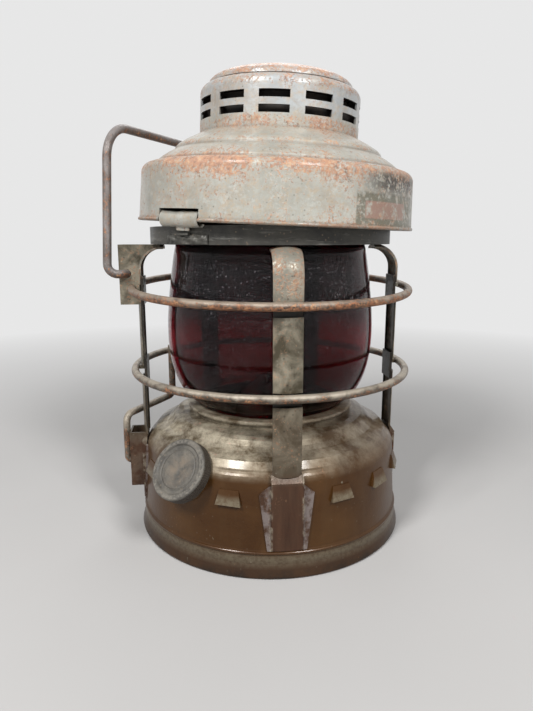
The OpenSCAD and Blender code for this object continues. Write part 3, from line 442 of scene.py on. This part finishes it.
def make_base_enamel():
    """Old bronze-brown enamel on the base: glossy on the wall, khaki dust on the deck, paler towards the left as
    painted light, dark and redder at the foot, pale rubbed chips all over, and pale tops on the louvre hoods and a pale
    band across the foot, partly rubbed wear and partly painted highlight."""
    material, g, surface = new_material("base_enamel")
    place = g.place()
    height = g.part(place, "Z")
    grime = use_group(g, grime_group, Vector=place, Blotch_size=30.0, Speck_density=0.05)
    rust = use_group(g, rust_group, Vector=place, Amount=g.between(grime["Blotch"], 0.48, 0.75, -0.1, 0.26))
    enamel = g.mix(g.between(grime["Blotch"], 0.35, 0.68), rgb(0.046, 0.018, 0.004), rgb(0.074, 0.033, 0.009))
    enamel = g.over(enamel, g.between(grime["Streaks"], 0.5, 0.7), 0.12, rgb(0.095, 0.058, 0.028))
    dust = g.between(g.noise(place, 75.0, 8.0, 0.75), 0.40, 0.62)
    khaki = g.mix(dust, rgb(0.085, 0.062, 0.036), rgb(0.430, 0.380, 0.285))
    # Dust on the deck, its share larger towards the left as painted light from that side
    deck_dust_and_left_light = g.times(g.between(height, 0.046, 0.056), g.between(g.part(place, "X"), -0.02, 0.03, 0.95, 0.4))
    color = g.mix(deck_dust_and_left_light, enamel, khaki)
    color = g.mix(g.between(height, 0.009, 0.015, 0.75, 0.0), color, rgb(0.038, 0.020, 0.011))
    color = g.over(color, rust["Mask"], 0.4, rust["Color"])
    level = g.put("ShaderNodeMapping", {"Vector": place, "Scale": (1, 1, 0)}).outputs[0]
    r = g.put("ShaderNodeVectorMath", {0: level}, operation="LENGTH").outputs["Value"]
    # Pale louvre hood tops and a pale band across the foot: partly rubbed wear, partly painted highlight
    hoods = g.times(g.between(r, 0.0706, 0.0716), g.band(height, (0.0345, 0.0355), (0.0430, 0.0440), 0.7))
    rubbed = g.band(height, (0.0045, 0.0090), (0.0100, 0.0125), 0.5)
    rubbed = g.times(g.math("MAXIMUM", hoods, rubbed), g.between(grime["Grain"], 0.3, 0.6, 0.4, 1.0))
    color = g.mix(rubbed, color, rgb(0.19, 0.165, 0.115))
    chips = g.between(g.noise(place, 150.0, 3.0, 0.6), 0.715, 0.75)
    color = g.over(color, chips, 0.5, rgb(0.30, 0.27, 0.20))
    color = g.over(color, grime["Specks"], 0.16, rgb(0.24, 0.21, 0.16))
    foot = g.between(g.noise(place, 90.0, 5.0, 0.7), 0.45, 0.62)
    foot = g.times(foot, g.between(height, 0.0005, 0.006, 0.8, 0.0))
    g.feed(surface.inputs["Base Color"], g.mix(foot, color, rgb(0.012, 0.010, 0.008)))
    rough = g.plus(g.between(grime["Blotch"], 0.3, 0.7, 0.24, 0.40), g.between(height, 0.050, 0.054, 0.0, 0.08))
    g.feed(surface.inputs["Roughness"], g.plus(rough, g.times(rust["Mask"], 0.2)))
    surface.inputs["Metallic"].default_value = 0.2
    surface.inputs["Specular IOR Level"].default_value = 0.15
    g.feed(surface.inputs["Coat Weight"], g.between(height, 0.050, 0.054, 0.2, 0.3))
    surface.inputs["Coat Roughness"].default_value = 0.14
    relief = g.plus(g.times(grime["Blotch"], 0.9), g.times(grime["Grain"], 0.10))
    bumped(g, surface, relief, 0.4, 0.0009)
    return material


def make_strap_paint(name, azimuth, bend=1.0):
    """Strap in its own frame, x outward and y across: pale and rusty at the bend, speckled olive below, browner on the
    flat foot, painted shade on its back and in the ring openings, bare grey-lilac wings with pale solder along
    their edges."""
    material, g, surface = new_material(name)
    place = g.place(turn=(0, 0, math.radians(-azimuth)))
    height = g.part(place, "Z")
    aside = g.math("ABSOLUTE", g.part(place, "Y"))
    grime = use_group(g, grime_group, Vector=place, Blotch_size=85.0, Speck_density=0.14)
    high = g.between(height, 0.116, 0.140, 0.0, bend)
    low = g.between(height, 0.046, 0.053, 1.0, 0.0)
    worn = g.plus(g.between(grime["Blotch"], 0.35, 0.7, 0.08, 0.46), g.times(high, 0.22))
    rust = use_group(g, rust_group, Vector=place, Amount=g.math("SUBTRACT", worn, g.times(low, 0.16)))
    paint = g.mix(g.between(grime["Blotch"], 0.42, 0.64), rgb(0.055, 0.045, 0.028), rgb(0.260, 0.232, 0.175))
    paint = g.over(paint, high, 0.5, rgb(0.34, 0.325, 0.275))
    paint = g.mix(g.between(height, 0.076, 0.092, 0.55, 0.0), paint, rgb(0.075, 0.052, 0.032))
    brown = g.mix(g.between(grime["Streaks"], 0.35, 0.65), rgb(0.036, 0.013, 0.006), rgb(0.066, 0.028, 0.014))
    paint = g.over(paint, low, 0.9, brown)
    wing = g.times(low, g.between(aside, 0.0076, 0.0078))
    bare = g.times(wing, g.between(g.noise(place, 140.0, 5.0, 0.7), 0.38, 0.54))
    paint = g.over(paint, bare, 0.75, rgb(0.205, 0.175, 0.165))
    color = g.over(paint, rust["Mask"], 0.6, rust["Color"])
    seam = g.band(aside, (0.0066, 0.0074), (0.0080, 0.0090))
    seam = g.times(g.times(seam, low), g.between(g.noise(place, 210.0, 4.0, 0.6), 0.44, 0.62))
    color = g.over(color, seam, 0.6, rgb(0.33, 0.29, 0.22))
    pale = g.times(grime["Specks"], g.between(low, 0.0, 1.0, 0.4, 0.0))
    color = g.mix(pale, color, rgb(0.28, 0.26, 0.21))
    dark = g.dots(place, 520.0, 0.10, 0.12, 0.34)
    color = g.over(color, dark, 0.6, rgb(0.025, 0.018, 0.014))
    # Painted shade: near-black on the strap's back face and in the ring openings
    back = g.between(g.part(place, "X"), 0.0691, 0.0695, 1.0, 0.0)
    back = g.times(back, g.band(height, (0.052, 0.056), (0.136, 0.142)))
    g.feed(surface.inputs["Base Color"], g.over(color, back, 0.92, rgb(0.014, 0.012, 0.010)))
    g.feed(surface.inputs["Roughness"], g.between(rust["Mask"], 0.0, 1.0, 0.34, 0.60))
    g.feed(surface.inputs["Metallic"], g.between(grime["Blotch"], 0.4, 0.62, 0.15, 0.35))
    surface.inputs["Specular IOR Level"].default_value = 0.3
    relief = g.plus(g.times(rust["Height"], rust["Mask"]), g.times(grime["Grain"], 0.4))
    bumped(g, surface, g.plus(relief, g.times(seam, 1.5)), 0.45, 0.0004)
    return material


def make_wire_rust(name, rubbed, brown, amount):
    """Rusty wire, by the surface's own upward slope: pale on its upper side, partly rubbed by hands and partly
    a painted highlight of light from above, brown and pitted below, partly painted shade.
    """
    material, g, surface = new_material(name)
    place = g.place()
    grime = use_group(g, grime_group, Vector=place, Blotch_size=130.0, Speck_density=0.25)
    # Painted light: paler upper side and browner underside by the surface's slope, over real rub and rust
    up = g.part(g.put("ShaderNodeTexCoord").outputs["Normal"], "Z")
    worn = g.plus(g.between(up, -0.4, 0.8, -0.5, 0.45), g.between(grime["Blotch"], 0.35, 0.65))
    rust = use_group(g, rust_group, Vector=place, Amount=g.between(worn, 0.0, 1.2, amount + 0.25, amount - 0.2))
    metal = g.mix(g.between(worn, 0.1, 1.0), brown, rubbed)
    color = g.over(metal, rust["Mask"], 0.8, rust["Color"])
    color = g.over(color, grime["Specks"], 0.5, rgb(0.05, 0.035, 0.028))
    g.feed(surface.inputs["Base Color"], color)
    g.feed(surface.inputs["Roughness"], g.between(rust["Mask"], 0.0, 1.0, 0.40, 0.72))
    surface.inputs["Metallic"].default_value = 0.3
    relief = g.plus(rust["Height"], g.times(grime["Grain"], 0.5))
    bumped(g, surface, relief, 0.6, 0.0004)
    return material


def make_ruby_glass():
    """Deep ruby glass, a little uneven in its wall, redder in a low band as a painted glow and nearly black above it as
    painted shade.
    """
    material, g, surface = new_material("ruby_glass")
    place = g.place()
    waves = g.noise(place, 28.0, 2.0, 0.5)
    height = g.part(place, "Z")
    # Painted glow: redder in a low band of the glass
    painted_glow_band = g.band(height, (0.088, 0.102), (0.108, 0.124))
    color = g.mix(g.between(waves, 0.3, 0.7), rgb(0.12, 0.0013, 0.005), rgb(0.16, 0.0020, 0.008))
    color = g.mix(painted_glow_band, color, rgb(0.29, 0.004, 0.016))
    # Painted shade: nearly black in the upper part under the lid
    painted_top_shade = g.between(height, 0.106, 0.122, 0.0, 0.85)
    g.feed(surface.inputs["Base Color"], g.mix(painted_top_shade, color, rgb(0.040, 0.0010, 0.003)))
    surface.inputs["Transmission Weight"].default_value = 1.0
    surface.inputs["IOR"].default_value = 1.26
    smears = g.noise(place, 60.0, 4.0, 0.6, 0.6)
    g.feed(surface.inputs["Roughness"], g.between(smears, 0.35, 0.75, 0.04, 0.16))
    bumped(g, surface, waves, 0.08, 0.002)
    return material


def make_glass_dust():
    """Dust on the globe: a faint haze and fine pale specks that thicken upwards, with a few larger flecks, clear
    between them."""
    material, g, surface = new_material("glass_dust")
    place = g.place()
    height = g.between(g.part(place, "Z"), 0.085, 0.140)
    fine = g.times(g.dots(place, 760.0, 0.5, 0.12, 0.26), 0.55)
    coarse = g.dots(place, 330.0, 0.12, 0.06, 0.14)
    patch = g.between(g.noise(place, 38.0, 4.0, 0.6), 0.34, 0.66)
    thick = g.times(g.between(height, 0.0, 1.0, 0.14, 1.0), g.between(patch, 0.0, 1.0, 0.3, 1.0))
    specks = g.times(g.math("MAXIMUM", fine, coarse), thick)
    g.feed(surface.inputs["Alpha"], g.math("ADD", g.times(thick, 0.018), specks, clamp=True))
    g.feed(surface.inputs["Base Color"], g.mix(patch, rgb(0.27, 0.235, 0.27), rgb(0.40, 0.37, 0.38)))
    surface.inputs["Roughness"].default_value = 0.9
    return material


# Filler cap: azimuth, slope of its axis from upright, middle of its face, ribs of its knurl
CAP_AZ, CAP_SLOPE = math.radians(228), math.radians(54)
CAP_R, CAP_Z = 75.5159 * MM, 50.6443 * MM
CAP_MIDDLE = Vector((CAP_R * math.cos(CAP_AZ), CAP_R * math.sin(CAP_AZ), CAP_Z))
KNURLS = 84.0


def make_cap_dark():
    """Matt dark grey filler cap in its own frame, z along its axis: knurled side, rubbed rim, brown dirt in the
    dish."""
    material, g, surface = new_material("cap_dark")
    place = g.place(shift=-CAP_MIDDLE)
    place = g.moved(g.moved(place, turn=(0, 0, -CAP_AZ)), turn=(0, -CAP_SLOPE, 0))
    x, y, z = (g.part(place, axis) for axis in "XYZ")
    r = g.math("SQRT", g.plus(g.times(x, x), g.times(y, y)))
    grime = use_group(g, grime_group, Vector=place, Blotch_size=120.0, Speck_density=0.3)
    side = g.times(g.between(r, 0.0143, 0.0147), g.between(z, -0.0014, -0.0010, 1.0, 0.0))
    knurl = g.times(g.math("SINE", g.times(g.math("ARCTAN2", y, x), KNURLS)), side)
    groove = g.band(r, (0.0092, 0.0097), (0.0099, 0.0104))
    rim = g.band(r, (0.0122, 0.0130), (0.0142, 0.0150))
    color = g.mix(g.between(grime["Blotch"], 0.38, 0.66), rgb(0.052, 0.047, 0.040), rgb(0.130, 0.118, 0.098))
    inside = g.between(r, 0.004, 0.010, 1.0, 0.0)
    dirt = g.times(inside, g.between(grime["Streaks"], 0.40, 0.62))
    color = g.over(color, dirt, 0.6, rgb(0.175, 0.130, 0.090))
    worn = g.times(rim, g.between(grime["Grain"], 0.42, 0.62))
    color = g.over(color, worn, 0.6, rgb(0.20, 0.18, 0.15))
    color = g.over(color, grime["Specks"], 0.5, rgb(0.20, 0.155, 0.11))
    color = g.over(color, side, 0.85, rgb(0.030, 0.021, 0.014))
    g.feed(surface.inputs["Base Color"], color)
    g.feed(surface.inputs["Roughness"], g.between(grime["Blotch"], 0.3, 0.7, 0.45, 0.7))
    relief = g.plus(grime["Grain"], g.times(grime["Blotch"], 0.8))
    relief = g.plus(relief, g.math("SUBTRACT", g.times(knurl, 0.7), groove))
    bumped(g, surface, relief, 0.6, 0.0005)
    return material


def make_brass():
    """Tarnished brass of the burner, brown in patches."""
    material, g, surface = new_material("old_brass")
    place = g.place()
    grime = use_group(g, grime_group, Vector=place, Blotch_size=110.0, Speck_density=0.2)
    color = g.mix(g.between(grime["Blotch"], 0.36, 0.66), rgb(0.16, 0.10, 0.045), rgb(0.42, 0.29, 0.12))
    color = g.over(color, grime["Specks"], 0.6, rgb(0.05, 0.04, 0.025))
    g.feed(surface.inputs["Base Color"], color)
    g.feed(surface.inputs["Roughness"], g.between(grime["Blotch"], 0.3, 0.7, 0.5, 0.28))
    surface.inputs["Metallic"].default_value = 0.9
    bumped(g, surface, grime["Grain"], 0.25, 0.0003)
    return material


def make_cork():
    """Cork: pale brown grains with dark pits."""
    material, g, surface = new_material("cork")
    place = g.place()
    cells = g.put("ShaderNodeTexVoronoi", {"Vector": place, "Scale": 700.0})
    pits = g.between(g.noise(place, 900.0, 3.0, 0.6), 0.3, 0.6)
    color = g.mix(g.between(cells.outputs["Distance"], 0.1, 0.6), rgb(0.42, 0.27, 0.14), rgb(0.25, 0.15, 0.075))
    g.feed(surface.inputs["Base Color"], g.mix(pits, rgb(0.10, 0.06, 0.03), color))
    surface.inputs["Roughness"].default_value = 0.9
    bumped(g, surface, pits, 0.5, 0.0003)
    return material


def make_wick_cotton():
    """Woven cotton wick along its own UV map: crossing ribs of yarn, oil-stained, charred at the tip."""
    material, g, surface = new_material("wick_cotton")
    uv = g.put("ShaderNodeUVMap", uv_map="weave").outputs[0]
    warp = g.math("SINE", g.times(g.part(uv, "X"), TAU))
    weft = g.math("SINE", g.times(g.part(uv, "Y"), TAU))
    weave = g.between(g.times(warp, weft), -1.0, 1.0)
    place = g.place()
    color = g.mix(weave, rgb(0.34, 0.28, 0.19), rgb(0.60, 0.54, 0.42))
    edge = g.plus(g.part(place, "Z"), g.times(g.noise(place, 500.0), 0.003))
    g.feed(surface.inputs["Base Color"], g.mix(g.between(edge, 0.0795, 0.083), color, rgb(0.012, 0.011, 0.010)))
    surface.inputs["Roughness"].default_value = 0.95
    bumped(g, surface, weave, 0.6, 0.0004)
    return material


lid_paint = make_lid_paint("lid_grey_rust", True)
latch_paint = make_lid_paint("latch_grey_rust", False)
soot_and_shade = make_soot()
collar_dark = make_collar_dark()
base_enamel = make_base_enamel()
# Wire finishes: pale upper colour (rub and painted highlight), brown lower colour (metal and painted shade), rust
# amount
ring_rust = make_wire_rust("ring_rust", rgb(0.27, 0.215, 0.165), rgb(0.050, 0.032, 0.024), 0.38)
ring_olive = make_wire_rust("ring_olive", rgb(0.33, 0.285, 0.225), rgb(0.060, 0.046, 0.033), 0.22)
bail_rust = make_wire_rust("bail_rust", rgb(0.21, 0.188, 0.178), rgb(0.085, 0.066, 0.057), 0.26)
ruby_glass = make_ruby_glass()
glass_dust = make_glass_dust()
cap_dark = make_cap_dark()
old_brass = make_brass()
cork = make_cork()
wick_cotton = make_wick_cotton()

FINISHES = {
    lid_paint: ("lid_shell", "chimney", "crown"),
    latch_paint: ("latch_lever", "latch_bracket", "latch_pin", "lid_hinge_leaf", "collar_hinge_leaf", "hinge_pin"),
    soot_and_shade: ("lid_baffle", "draft_cone", "globe_clips"),
    collar_dark: ("collar", "latch_keeper"),
    base_enamel: ("base_shell", "foot_rim", "bottom_pan", "oil_tank", "filler_neck", "shaft_bush", "gallery_ring"),
    make_strap_paint("strap_paint_front", -90): ("strap_front",),
    make_strap_paint("strap_paint_right", 0): ("strap_right",),
    make_strap_paint("strap_paint_rear_right", 60): ("strap_rear_right",),
    make_strap_paint("strap_paint_rear_left", 120): ("strap_rear_left",),
    make_strap_paint("strap_paint_left", 180): ("strap_left",),
    make_strap_paint("ear_paint_rear", 120, 0.0): ("ear_rear",),
    make_strap_paint("ear_paint_left", 180, 0.0): ("ear_left", "stay_bracket"),
    ring_rust: ("guard_ring_upper",),
    ring_olive: ("guard_ring_lower", "stay_wire"),
    bail_rust: ("bail",),
    ruby_glass: ("globe",),
    cap_dark: ("filler_cap",),
    old_brass: ("burner_collar", "burner_body", "wick_tube", "burner_dome", "wick_shaft", "wick_knob"),
    cork: ("filler_washer",),
    wick_cotton: ("wick",),
}
for finish, nodes in FINISHES.items():
    for node in nodes:
        cad[node].data.materials.clear()
        cad[node].data.materials.append(finish)


# Globe

GLOBE_FOOT, GLOBE_HIGH = 68.2 * MM, 89 * MM
GLOBE_LOW_R, GLOBE_R, GLOBE_TOP_R, GLOBE_WALL = 41 * MM, 56 * MM, 50 * MM, 3 * MM
LIP = 2.5 * MM
SWELL_SKEW, SWELL_FULLNESS = 0.86, 0.62
SIDE_STEPS = 48


def globe_side(inset=0.0):
    """Side of the globe as (radius, height): the lip's radius runs evenly from low to top, and the swell adds to it
    sin(pi s^0.86)^0.62 of what is missing to the largest radius, at share s of the height between the lips."""
    s = (1 - np.cos(np.linspace(0, math.pi, SIDE_STEPS))) / 2
    lip = GLOBE_LOW_R + (GLOBE_TOP_R - GLOBE_LOW_R) * s
    swell = np.sin(math.pi * s ** SWELL_SKEW).clip(0) ** SWELL_FULLNESS
    r = lip + (GLOBE_R - lip) * swell - inset
    return np.stack([r, GLOBE_FOOT + LIP + (GLOBE_HIGH - 2 * LIP) * s], -1)


def lip_round(r_out, r_in, z, up):
    """Rounded end of the glass wall: half an ellipse from the outer to the inner face."""
    a = np.linspace(0, math.pi, 9)
    middle, half = (r_out + r_in) / 2, (r_out - r_in) / 2
    return np.stack([middle + half * np.cos(a), z + up * LIP * np.sin(a)], -1)


outer, inner = globe_side(), globe_side(GLOBE_WALL)
top = lip_round(outer[-1, 0], inner[-1, 0], outer[-1, 1], 1)
foot = lip_round(outer[0, 0], inner[0, 0], outer[0, 1], -1)
globe_glass = turned("globe_glass", np.concatenate([outer, top[1:-1], inner[::-1], foot[::-1][1:-1]]), ruby_glass)
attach(globe_glass, "frame")
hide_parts("globe")

DUST_OFF, DUST_THICK = 0.03 * MM, 0.04 * MM
dust_front = globe_side(-DUST_OFF - DUST_THICK)[1:-1]
dust_back = globe_side(-DUST_OFF)[1:-1]
globe_dust = turned("globe_dust", np.concatenate([dust_front, dust_back[::-1]]), glass_dust)
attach(globe_dust, "frame")

# Wires

RING_R, RING_WIRE, RING_WAVE = 74 * MM, 2 * MM, 0.1 * MM
UPPER_RING_Z, UPPER_RING_LEAN, LOWER_RING_Z = 131.8 * MM, math.radians(2.4), 88.2 * MM


def guard_ring(name, node, z, lean, phase, material):
    """Guard ring: a circle of wire, out of round by a tenth of a millimetre in two slow waves, as a bent ring is, and
    turned about the X axis by its lean."""
    steps, sides = 240, 20
    a = np.arange(steps)[:, None] * TAU / steps
    b = np.arange(sides)[None] * TAU / sides
    r = RING_R + RING_WAVE * np.sin(2 * a + phase) + RING_WIRE * np.cos(b)
    up = RING_WAVE * np.sin(3 * a + phase) + RING_WIRE * np.sin(b)
    c, s = math.cos(lean), math.sin(lean)
    points = np.stack([r * np.cos(a), r * np.sin(a) * c - up * s, z + r * np.sin(a) * s + up * c], -1)[:, ::-1]
    ring = mesh_piece(name, points, grid_faces(steps, sides, wrap_rows=True, wrap_columns=True), material, 180)
    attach(ring, "frame")
    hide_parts(node)


guard_ring("ring_wire_upper", "guard_ring_upper", UPPER_RING_Z, UPPER_RING_LEAN, 0.4, ring_rust)
guard_ring("ring_wire_lower", "guard_ring_lower", LOWER_RING_Z, 0.0, 2.1, ring_olive)

BAIL_AZ = math.radians(150)
PIVOT_X, PIVOT_Y, BAIL_Z, BAIL_H = 62.693 * MM, 43.413 * MM, 139.1 * MM, 73.5 * MM
BAIL_CRANK, BAIL_LEG_OUT, BAIL_LEG_IN = 5.2 * MM, 9 * MM, 6 * MM
BAIL_WIRE, BAIL_STEP = 2.2 * MM, 1.5 * MM
PIN_IN, PIN_OUT = 2.6 * MM, 3.4 * MM
# One leg of the bail, x outward and y across: end of its pin inside the ear, ear, crank, corner of the grip
leg = [
    [PIVOT_X, PIVOT_Y - PIN_IN, BAIL_Z],
    [PIVOT_X, PIVOT_Y + PIN_OUT, BAIL_Z],
    [PIVOT_X + BAIL_CRANK, PIVOT_Y + BAIL_LEG_OUT, BAIL_Z],
    [PIVOT_X + BAIL_CRANK, PIVOT_Y + BAIL_LEG_OUT - BAIL_LEG_IN, BAIL_Z + BAIL_H],
]
bends = [4 * MM, 5 * MM, 17 * MM]
corners = np.array(leg + [[x, -y, z] for x, y, z in leg[::-1]])
outward = np.array([math.cos(BAIL_AZ), math.sin(BAIL_AZ), 0])
across = np.array([-math.sin(BAIL_AZ), math.cos(BAIL_AZ), 0])
corners = corners @ np.stack([outward, across, [0, 0, 1]])
bail_route = resampled(rounded_route(corners, bends + bends[::-1]), BAIL_STEP)
bail_wire = wire("bail_wire", bail_route, BAIL_WIRE, outward, bail_rust)
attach(bail_wire, "bail")
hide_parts("bail")


# Lid

def make_lid_lip():
    """Lip under the lid that drops into the collar: an upright ring whose lower edge is half round."""
    r_in, r_out, low, high = 57.4 * MM, 58.4 * MM, 159.2 * MM, 163.2 * MM
    middle, half = (r_in + r_out) / 2, (r_out - r_in) / 2
    a = np.linspace(-math.pi, 0, 9)
    edge = np.stack([middle + half * np.cos(a), low + half * np.sin(a)], -1)
    # Near-black, the lip also stands as painted shade in the gap between the lid and the collar
    lip = turned("lid_lip", np.concatenate([edge, [[r_out, high], [r_in, high]]]), soot_and_shade)
    lip.data.transform(LID_SEAT)
    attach(lip, "lid")


def make_cone_ribs():
    """Twelve upright ribs that hold the draft cone in the chimney, one behind each post between the vents: an oblong
    section, radius by thickness, carried straight up and turned about the axis."""
    count, first, low, high = 12, math.radians(34), 206.5 * MM, 222 * MM
    r_in, r_out, half = 35.6 * MM, 40.2 * MM, 0.4 * MM
    a = (first + np.arange(count) * TAU / count)[:, None, None]
    r = np.array([r_in, r_out, r_out, r_in])
    side = np.array([-half, -half, half, half])
    z = np.array([low, high])[None, :, None]
    points = np.stack([r * np.cos(a) - side * np.sin(a) + 0 * z, r * np.sin(a) + side * np.cos(a) + 0 * z,
                       z + 0 * r * a], -1)
    one = np.array(grid_faces(2, 4, wrap_columns=True) + [[3, 2, 1, 0], [4, 5, 6, 7]])
    faces = (one[None] + 8 * np.arange(count)[:, None, None]).reshape(-1, 4).tolist()
    # Near-black, the ribs also stand as painted shade seen through the chimney's vents
    ribs = mesh_piece("cone_ribs", points, faces, soot_and_shade, 30)
    ribs.data.transform(LID_SEAT)
    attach(ribs, "lid")


make_lid_lip()
make_cone_ribs()

# Latch, in its own frame: x outward, y along the pin, z up, from the middle of the pin
LATCH_AZ, LATCH_R, LATCH_Z = math.radians(225), 67.1 * MM, 163.0 * MM
LATCH_SEAT = LID_SEAT @ Matrix.Rotation(LATCH_AZ, 4, "Z") @ Matrix.Translation((LATCH_R, 0, LATCH_Z))
LATCH_HALF = 12 * MM


def make_latch_roll():
    """Latch tab rolled from sheet: an oval of sheet, open over a fifth of its turn, carried along the pin, its size
    waving by a twentieth along the way and its sheet thinner at both ends."""
    stations, around, thick = 49, 40, 0.8 * MM
    middle_u, middle_w, half_u, half_w = 0.55 * MM, -0.95 * MM, 2.85 * MM, 3.55 * MM
    turn = np.radians(np.linspace(150, -140, around))
    y = np.linspace(-LATCH_HALF, LATCH_HALF, stations)[:, None]
    wave = 1 + 0.03 * np.sin(y / (2.3 * MM)) + 0.02 * np.sin(y / (1.1 * MM) + 1)
    thin = thick * np.sqrt((1.02 - (np.abs(y) / LATCH_HALF) ** 24).clip(0.05, 1))

    def oval(inset):
        u = middle_u + (half_u - inset) * wave * np.cos(turn)
        w = middle_w + (half_w - inset) * wave * np.sin(turn)
        return np.stack([u, y + 0 * u, w], -1)

    rings = np.concatenate([oval(0.0), oval(thin)[:, ::-1]], 1)
    roll = swept("latch_roll", rings, latch_paint, 50)
    roll.data.transform(LATCH_SEAT)
    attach(roll, "latch")
    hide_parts("latch_lever")


def make_latch_arm():
    """Short arm that hooks under the keeper: a rounded-oblong section (a superellipse of power 6) carried down from the
    pin and bent inwards at its end."""
    around, steps, power = 32, 24, 6
    half_thick, half_wide, hook = 0.6 * MM, 4 * MM, 0.3 * MM
    top, bend_from, end = -1.4 * MM, -4.5 * MM, -6 * MM
    a = np.arange(around) * TAU / around
    size = (np.abs(np.cos(a)) ** power + np.abs(np.sin(a)) ** power) ** (-1 / power)
    u, y = half_thick * np.cos(a) * size, half_wide * np.sin(a) * size
    w = np.linspace(top, end, steps)[:, None]
    bend = -hook * ((bend_from - w) / (bend_from - end)).clip(0, 1) ** 2
    rings = np.stack([u + bend, y + 0 * w, w + 0 * u], -1)[:, ::-1]
    arm = swept("latch_arm", rings, latch_paint, 50)
    arm.data.transform(LATCH_SEAT)
    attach(arm, "latch")


make_latch_roll()
make_latch_arm()


# Wick

WICK_W, WICK_T, WICK_LOW, WICK_TOP = 13.6 * MM, 2.4 * MM, 14.2 * MM, 82 * MM
YARN, YARNS_ROUND = 1.1 * MM, 28
FRAY, FRAY_REACH = 0.5 * MM, 3 * MM


def make_wick():
    """Flat wick: a rounded-oblong section (a superellipse of power 4) carried straight up, ribbed once a yarn, its top
    edge frayed by a wave. Its UV map counts yarns round the section and along the height."""
    around, rows = 64, 60
    a = np.arange(around) * TAU / around
    c, s = np.cos(a), np.sin(a)
    size = (np.abs(c) ** 4 + np.abs(s) ** 4) ** -0.25
    x, y = WICK_T / 2 * c * size, WICK_W / 2 * s * size
    z = np.linspace(WICK_LOW, WICK_TOP, rows)
    fray = FRAY * np.sin(9 * a) * np.cos(4 * a)
    share = ((z - WICK_TOP + FRAY_REACH) / FRAY_REACH).clip(0, 1)
    rib = 0.98 + 0.02 * np.sin(z * TAU / YARN)
    rings = np.stack([x * rib[:, None], y * rib[:, None], z[:, None] + (fray - FRAY) * share[:, None]], -1)
    strip = swept("wick_strip", rings, wick_cotton)
    uv = strip.data.uv_layers.new(name="weave")
    corner = np.zeros(len(strip.data.loops), int)
    strip.data.loops.foreach_get("vertex_index", corner)
    column, row = corner % around, corner // around
    flat = np.stack([column * YARNS_ROUND / around, z[row] / YARN], -1)
    uv.data.foreach_set("uv", flat.astype(np.float32).ravel())
    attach(strip, "wick")
    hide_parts("wick")


make_wick()


# Crumpled strip of thin sheet on the collar below the latch

def make_crumpled_strip():
    """Bent strip of sheet on the collar: a flat oblong section carried along the collar, pushed outwards by three waves
    of different pitch along the strip and over its height."""
    steps, high, thick = 120, 24, 0.3 * MM
    az_from, az_to, r_back, low, tall, reach = 215, 238, 63.5 * MM, 154.6 * MM, 4.0 * MM, 0.9 * MM
    a = np.radians(np.linspace(az_from, az_to, steps))[:, None]
    up = np.linspace(0, 1, high)
    h = np.concatenate([up, up[::-1]])[None]
    face = np.repeat([1.0, 0.0], high)[None]
    push = 0.5 + 0.22 * np.sin(61 * a + 3 * h) + 0.16 * np.sin(113 * a - 5 * h) + 0.12 * np.sin(37 * a + 9 * h)
    r = r_back + push * reach + face * thick
    z = low + h * tall + 0.25 * MM * np.sin(47 * a) * h
    rings = np.stack([r * np.cos(a), r * np.sin(a), z + 0 * a], -1)[:, ::-1]
    strip = swept("crumpled_strip", rings, collar_dark, 50)
    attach(strip, "frame")


make_crumpled_strip()


# Stage

BACKDROP = rgb(0.80, 0.80, 0.80)
FLOOR_FADE = 0.20, 0.75


def make_floor():
    """Wide pale floor that fades to the backdrop's colour away from the lantern, where the background is shown."""
    material, g, surface = new_material("pale_floor")
    place = g.place()
    grain = g.noise(place, 6.0, 3.0, 0.5)
    g.feed(surface.inputs["Base Color"], g.mix(grain, rgb(0.44, 0.43, 0.42), rgb(0.48, 0.47, 0.46)))
    surface.inputs["Roughness"].default_value = 0.85
    backdrop = g.put("ShaderNodeEmission", {"Color": BACKDROP, "Strength": 1.0})
    distance = g.put("ShaderNodeVectorMath", {0: place}, operation="LENGTH").outputs["Value"]
    seen = g.background_rays()
    share = g.times(g.between(distance, *FLOOR_FADE), seen)
    blend = g.put("ShaderNodeMixShader", {0: share, 1: surface.outputs[0], 2: backdrop.outputs[0]})
    end = next(n for n in g.tree.nodes if n.type == "OUTPUT_MATERIAL")
    g.feed(end.inputs["Surface"], blend.outputs[0])
    r = np.array([1e-4, 0.2, 0.5, 1.0, 4.0])[:, None]
    around = 96
    a = np.arange(around) * TAU / around
    points = np.stack([r * np.cos(a), r * np.sin(a), 0 * r * a], -1)[:, ::-1]
    mesh_piece("floor", points, grid_faces(len(r), around, wrap_columns=True), material, 180)


def make_world():
    """Dim studio surround as a light, plain pale backdrop where the background is shown."""
    world = bpy.data.worlds.new("studio")
    world.use_nodes = True
    g = Graph(world.node_tree)
    surround = next(n for n in g.tree.nodes if n.type == "BACKGROUND")
    surround.inputs["Color"].default_value = rgb(0.9, 0.92, 0.95)
    surround.inputs["Strength"].default_value = 0.22
    backdrop = g.put("ShaderNodeBackground", {"Color": BACKDROP, "Strength": 1.0})
    seen = g.background_rays()
    blend = g.put("ShaderNodeMixShader", {0: seen, 1: surround.outputs[0], 2: backdrop.outputs[0]})
    end = next(n for n in g.tree.nodes if n.type == "OUTPUT_WORLD")
    g.feed(end.inputs["Surface"], blend.outputs[0])
    scene.world = world


def lamp(name, at, size, power, aim=(0, 0, 0.12)):
    """Square soft lamp that looks at the lantern."""
    light = bpy.data.lights.new(name, "AREA")
    light.size = size
    light.energy = power
    made = bpy.data.objects.new(name, light)
    made.location = at
    made.rotation_euler = (Vector(aim) - Vector(at)).to_track_quat("-Z", "Y").to_euler()
    scene.collection.objects.link(made)


make_floor()
make_world()
lamp("key_left", (-0.55, -0.62, 0.78), 0.24, 9.8)
lamp("key_right", (0.36, -0.80, 0.78), 0.24, 9.0)
lamp("back_top", (0.1, 0.8, 0.9), 0.5, 2.4)
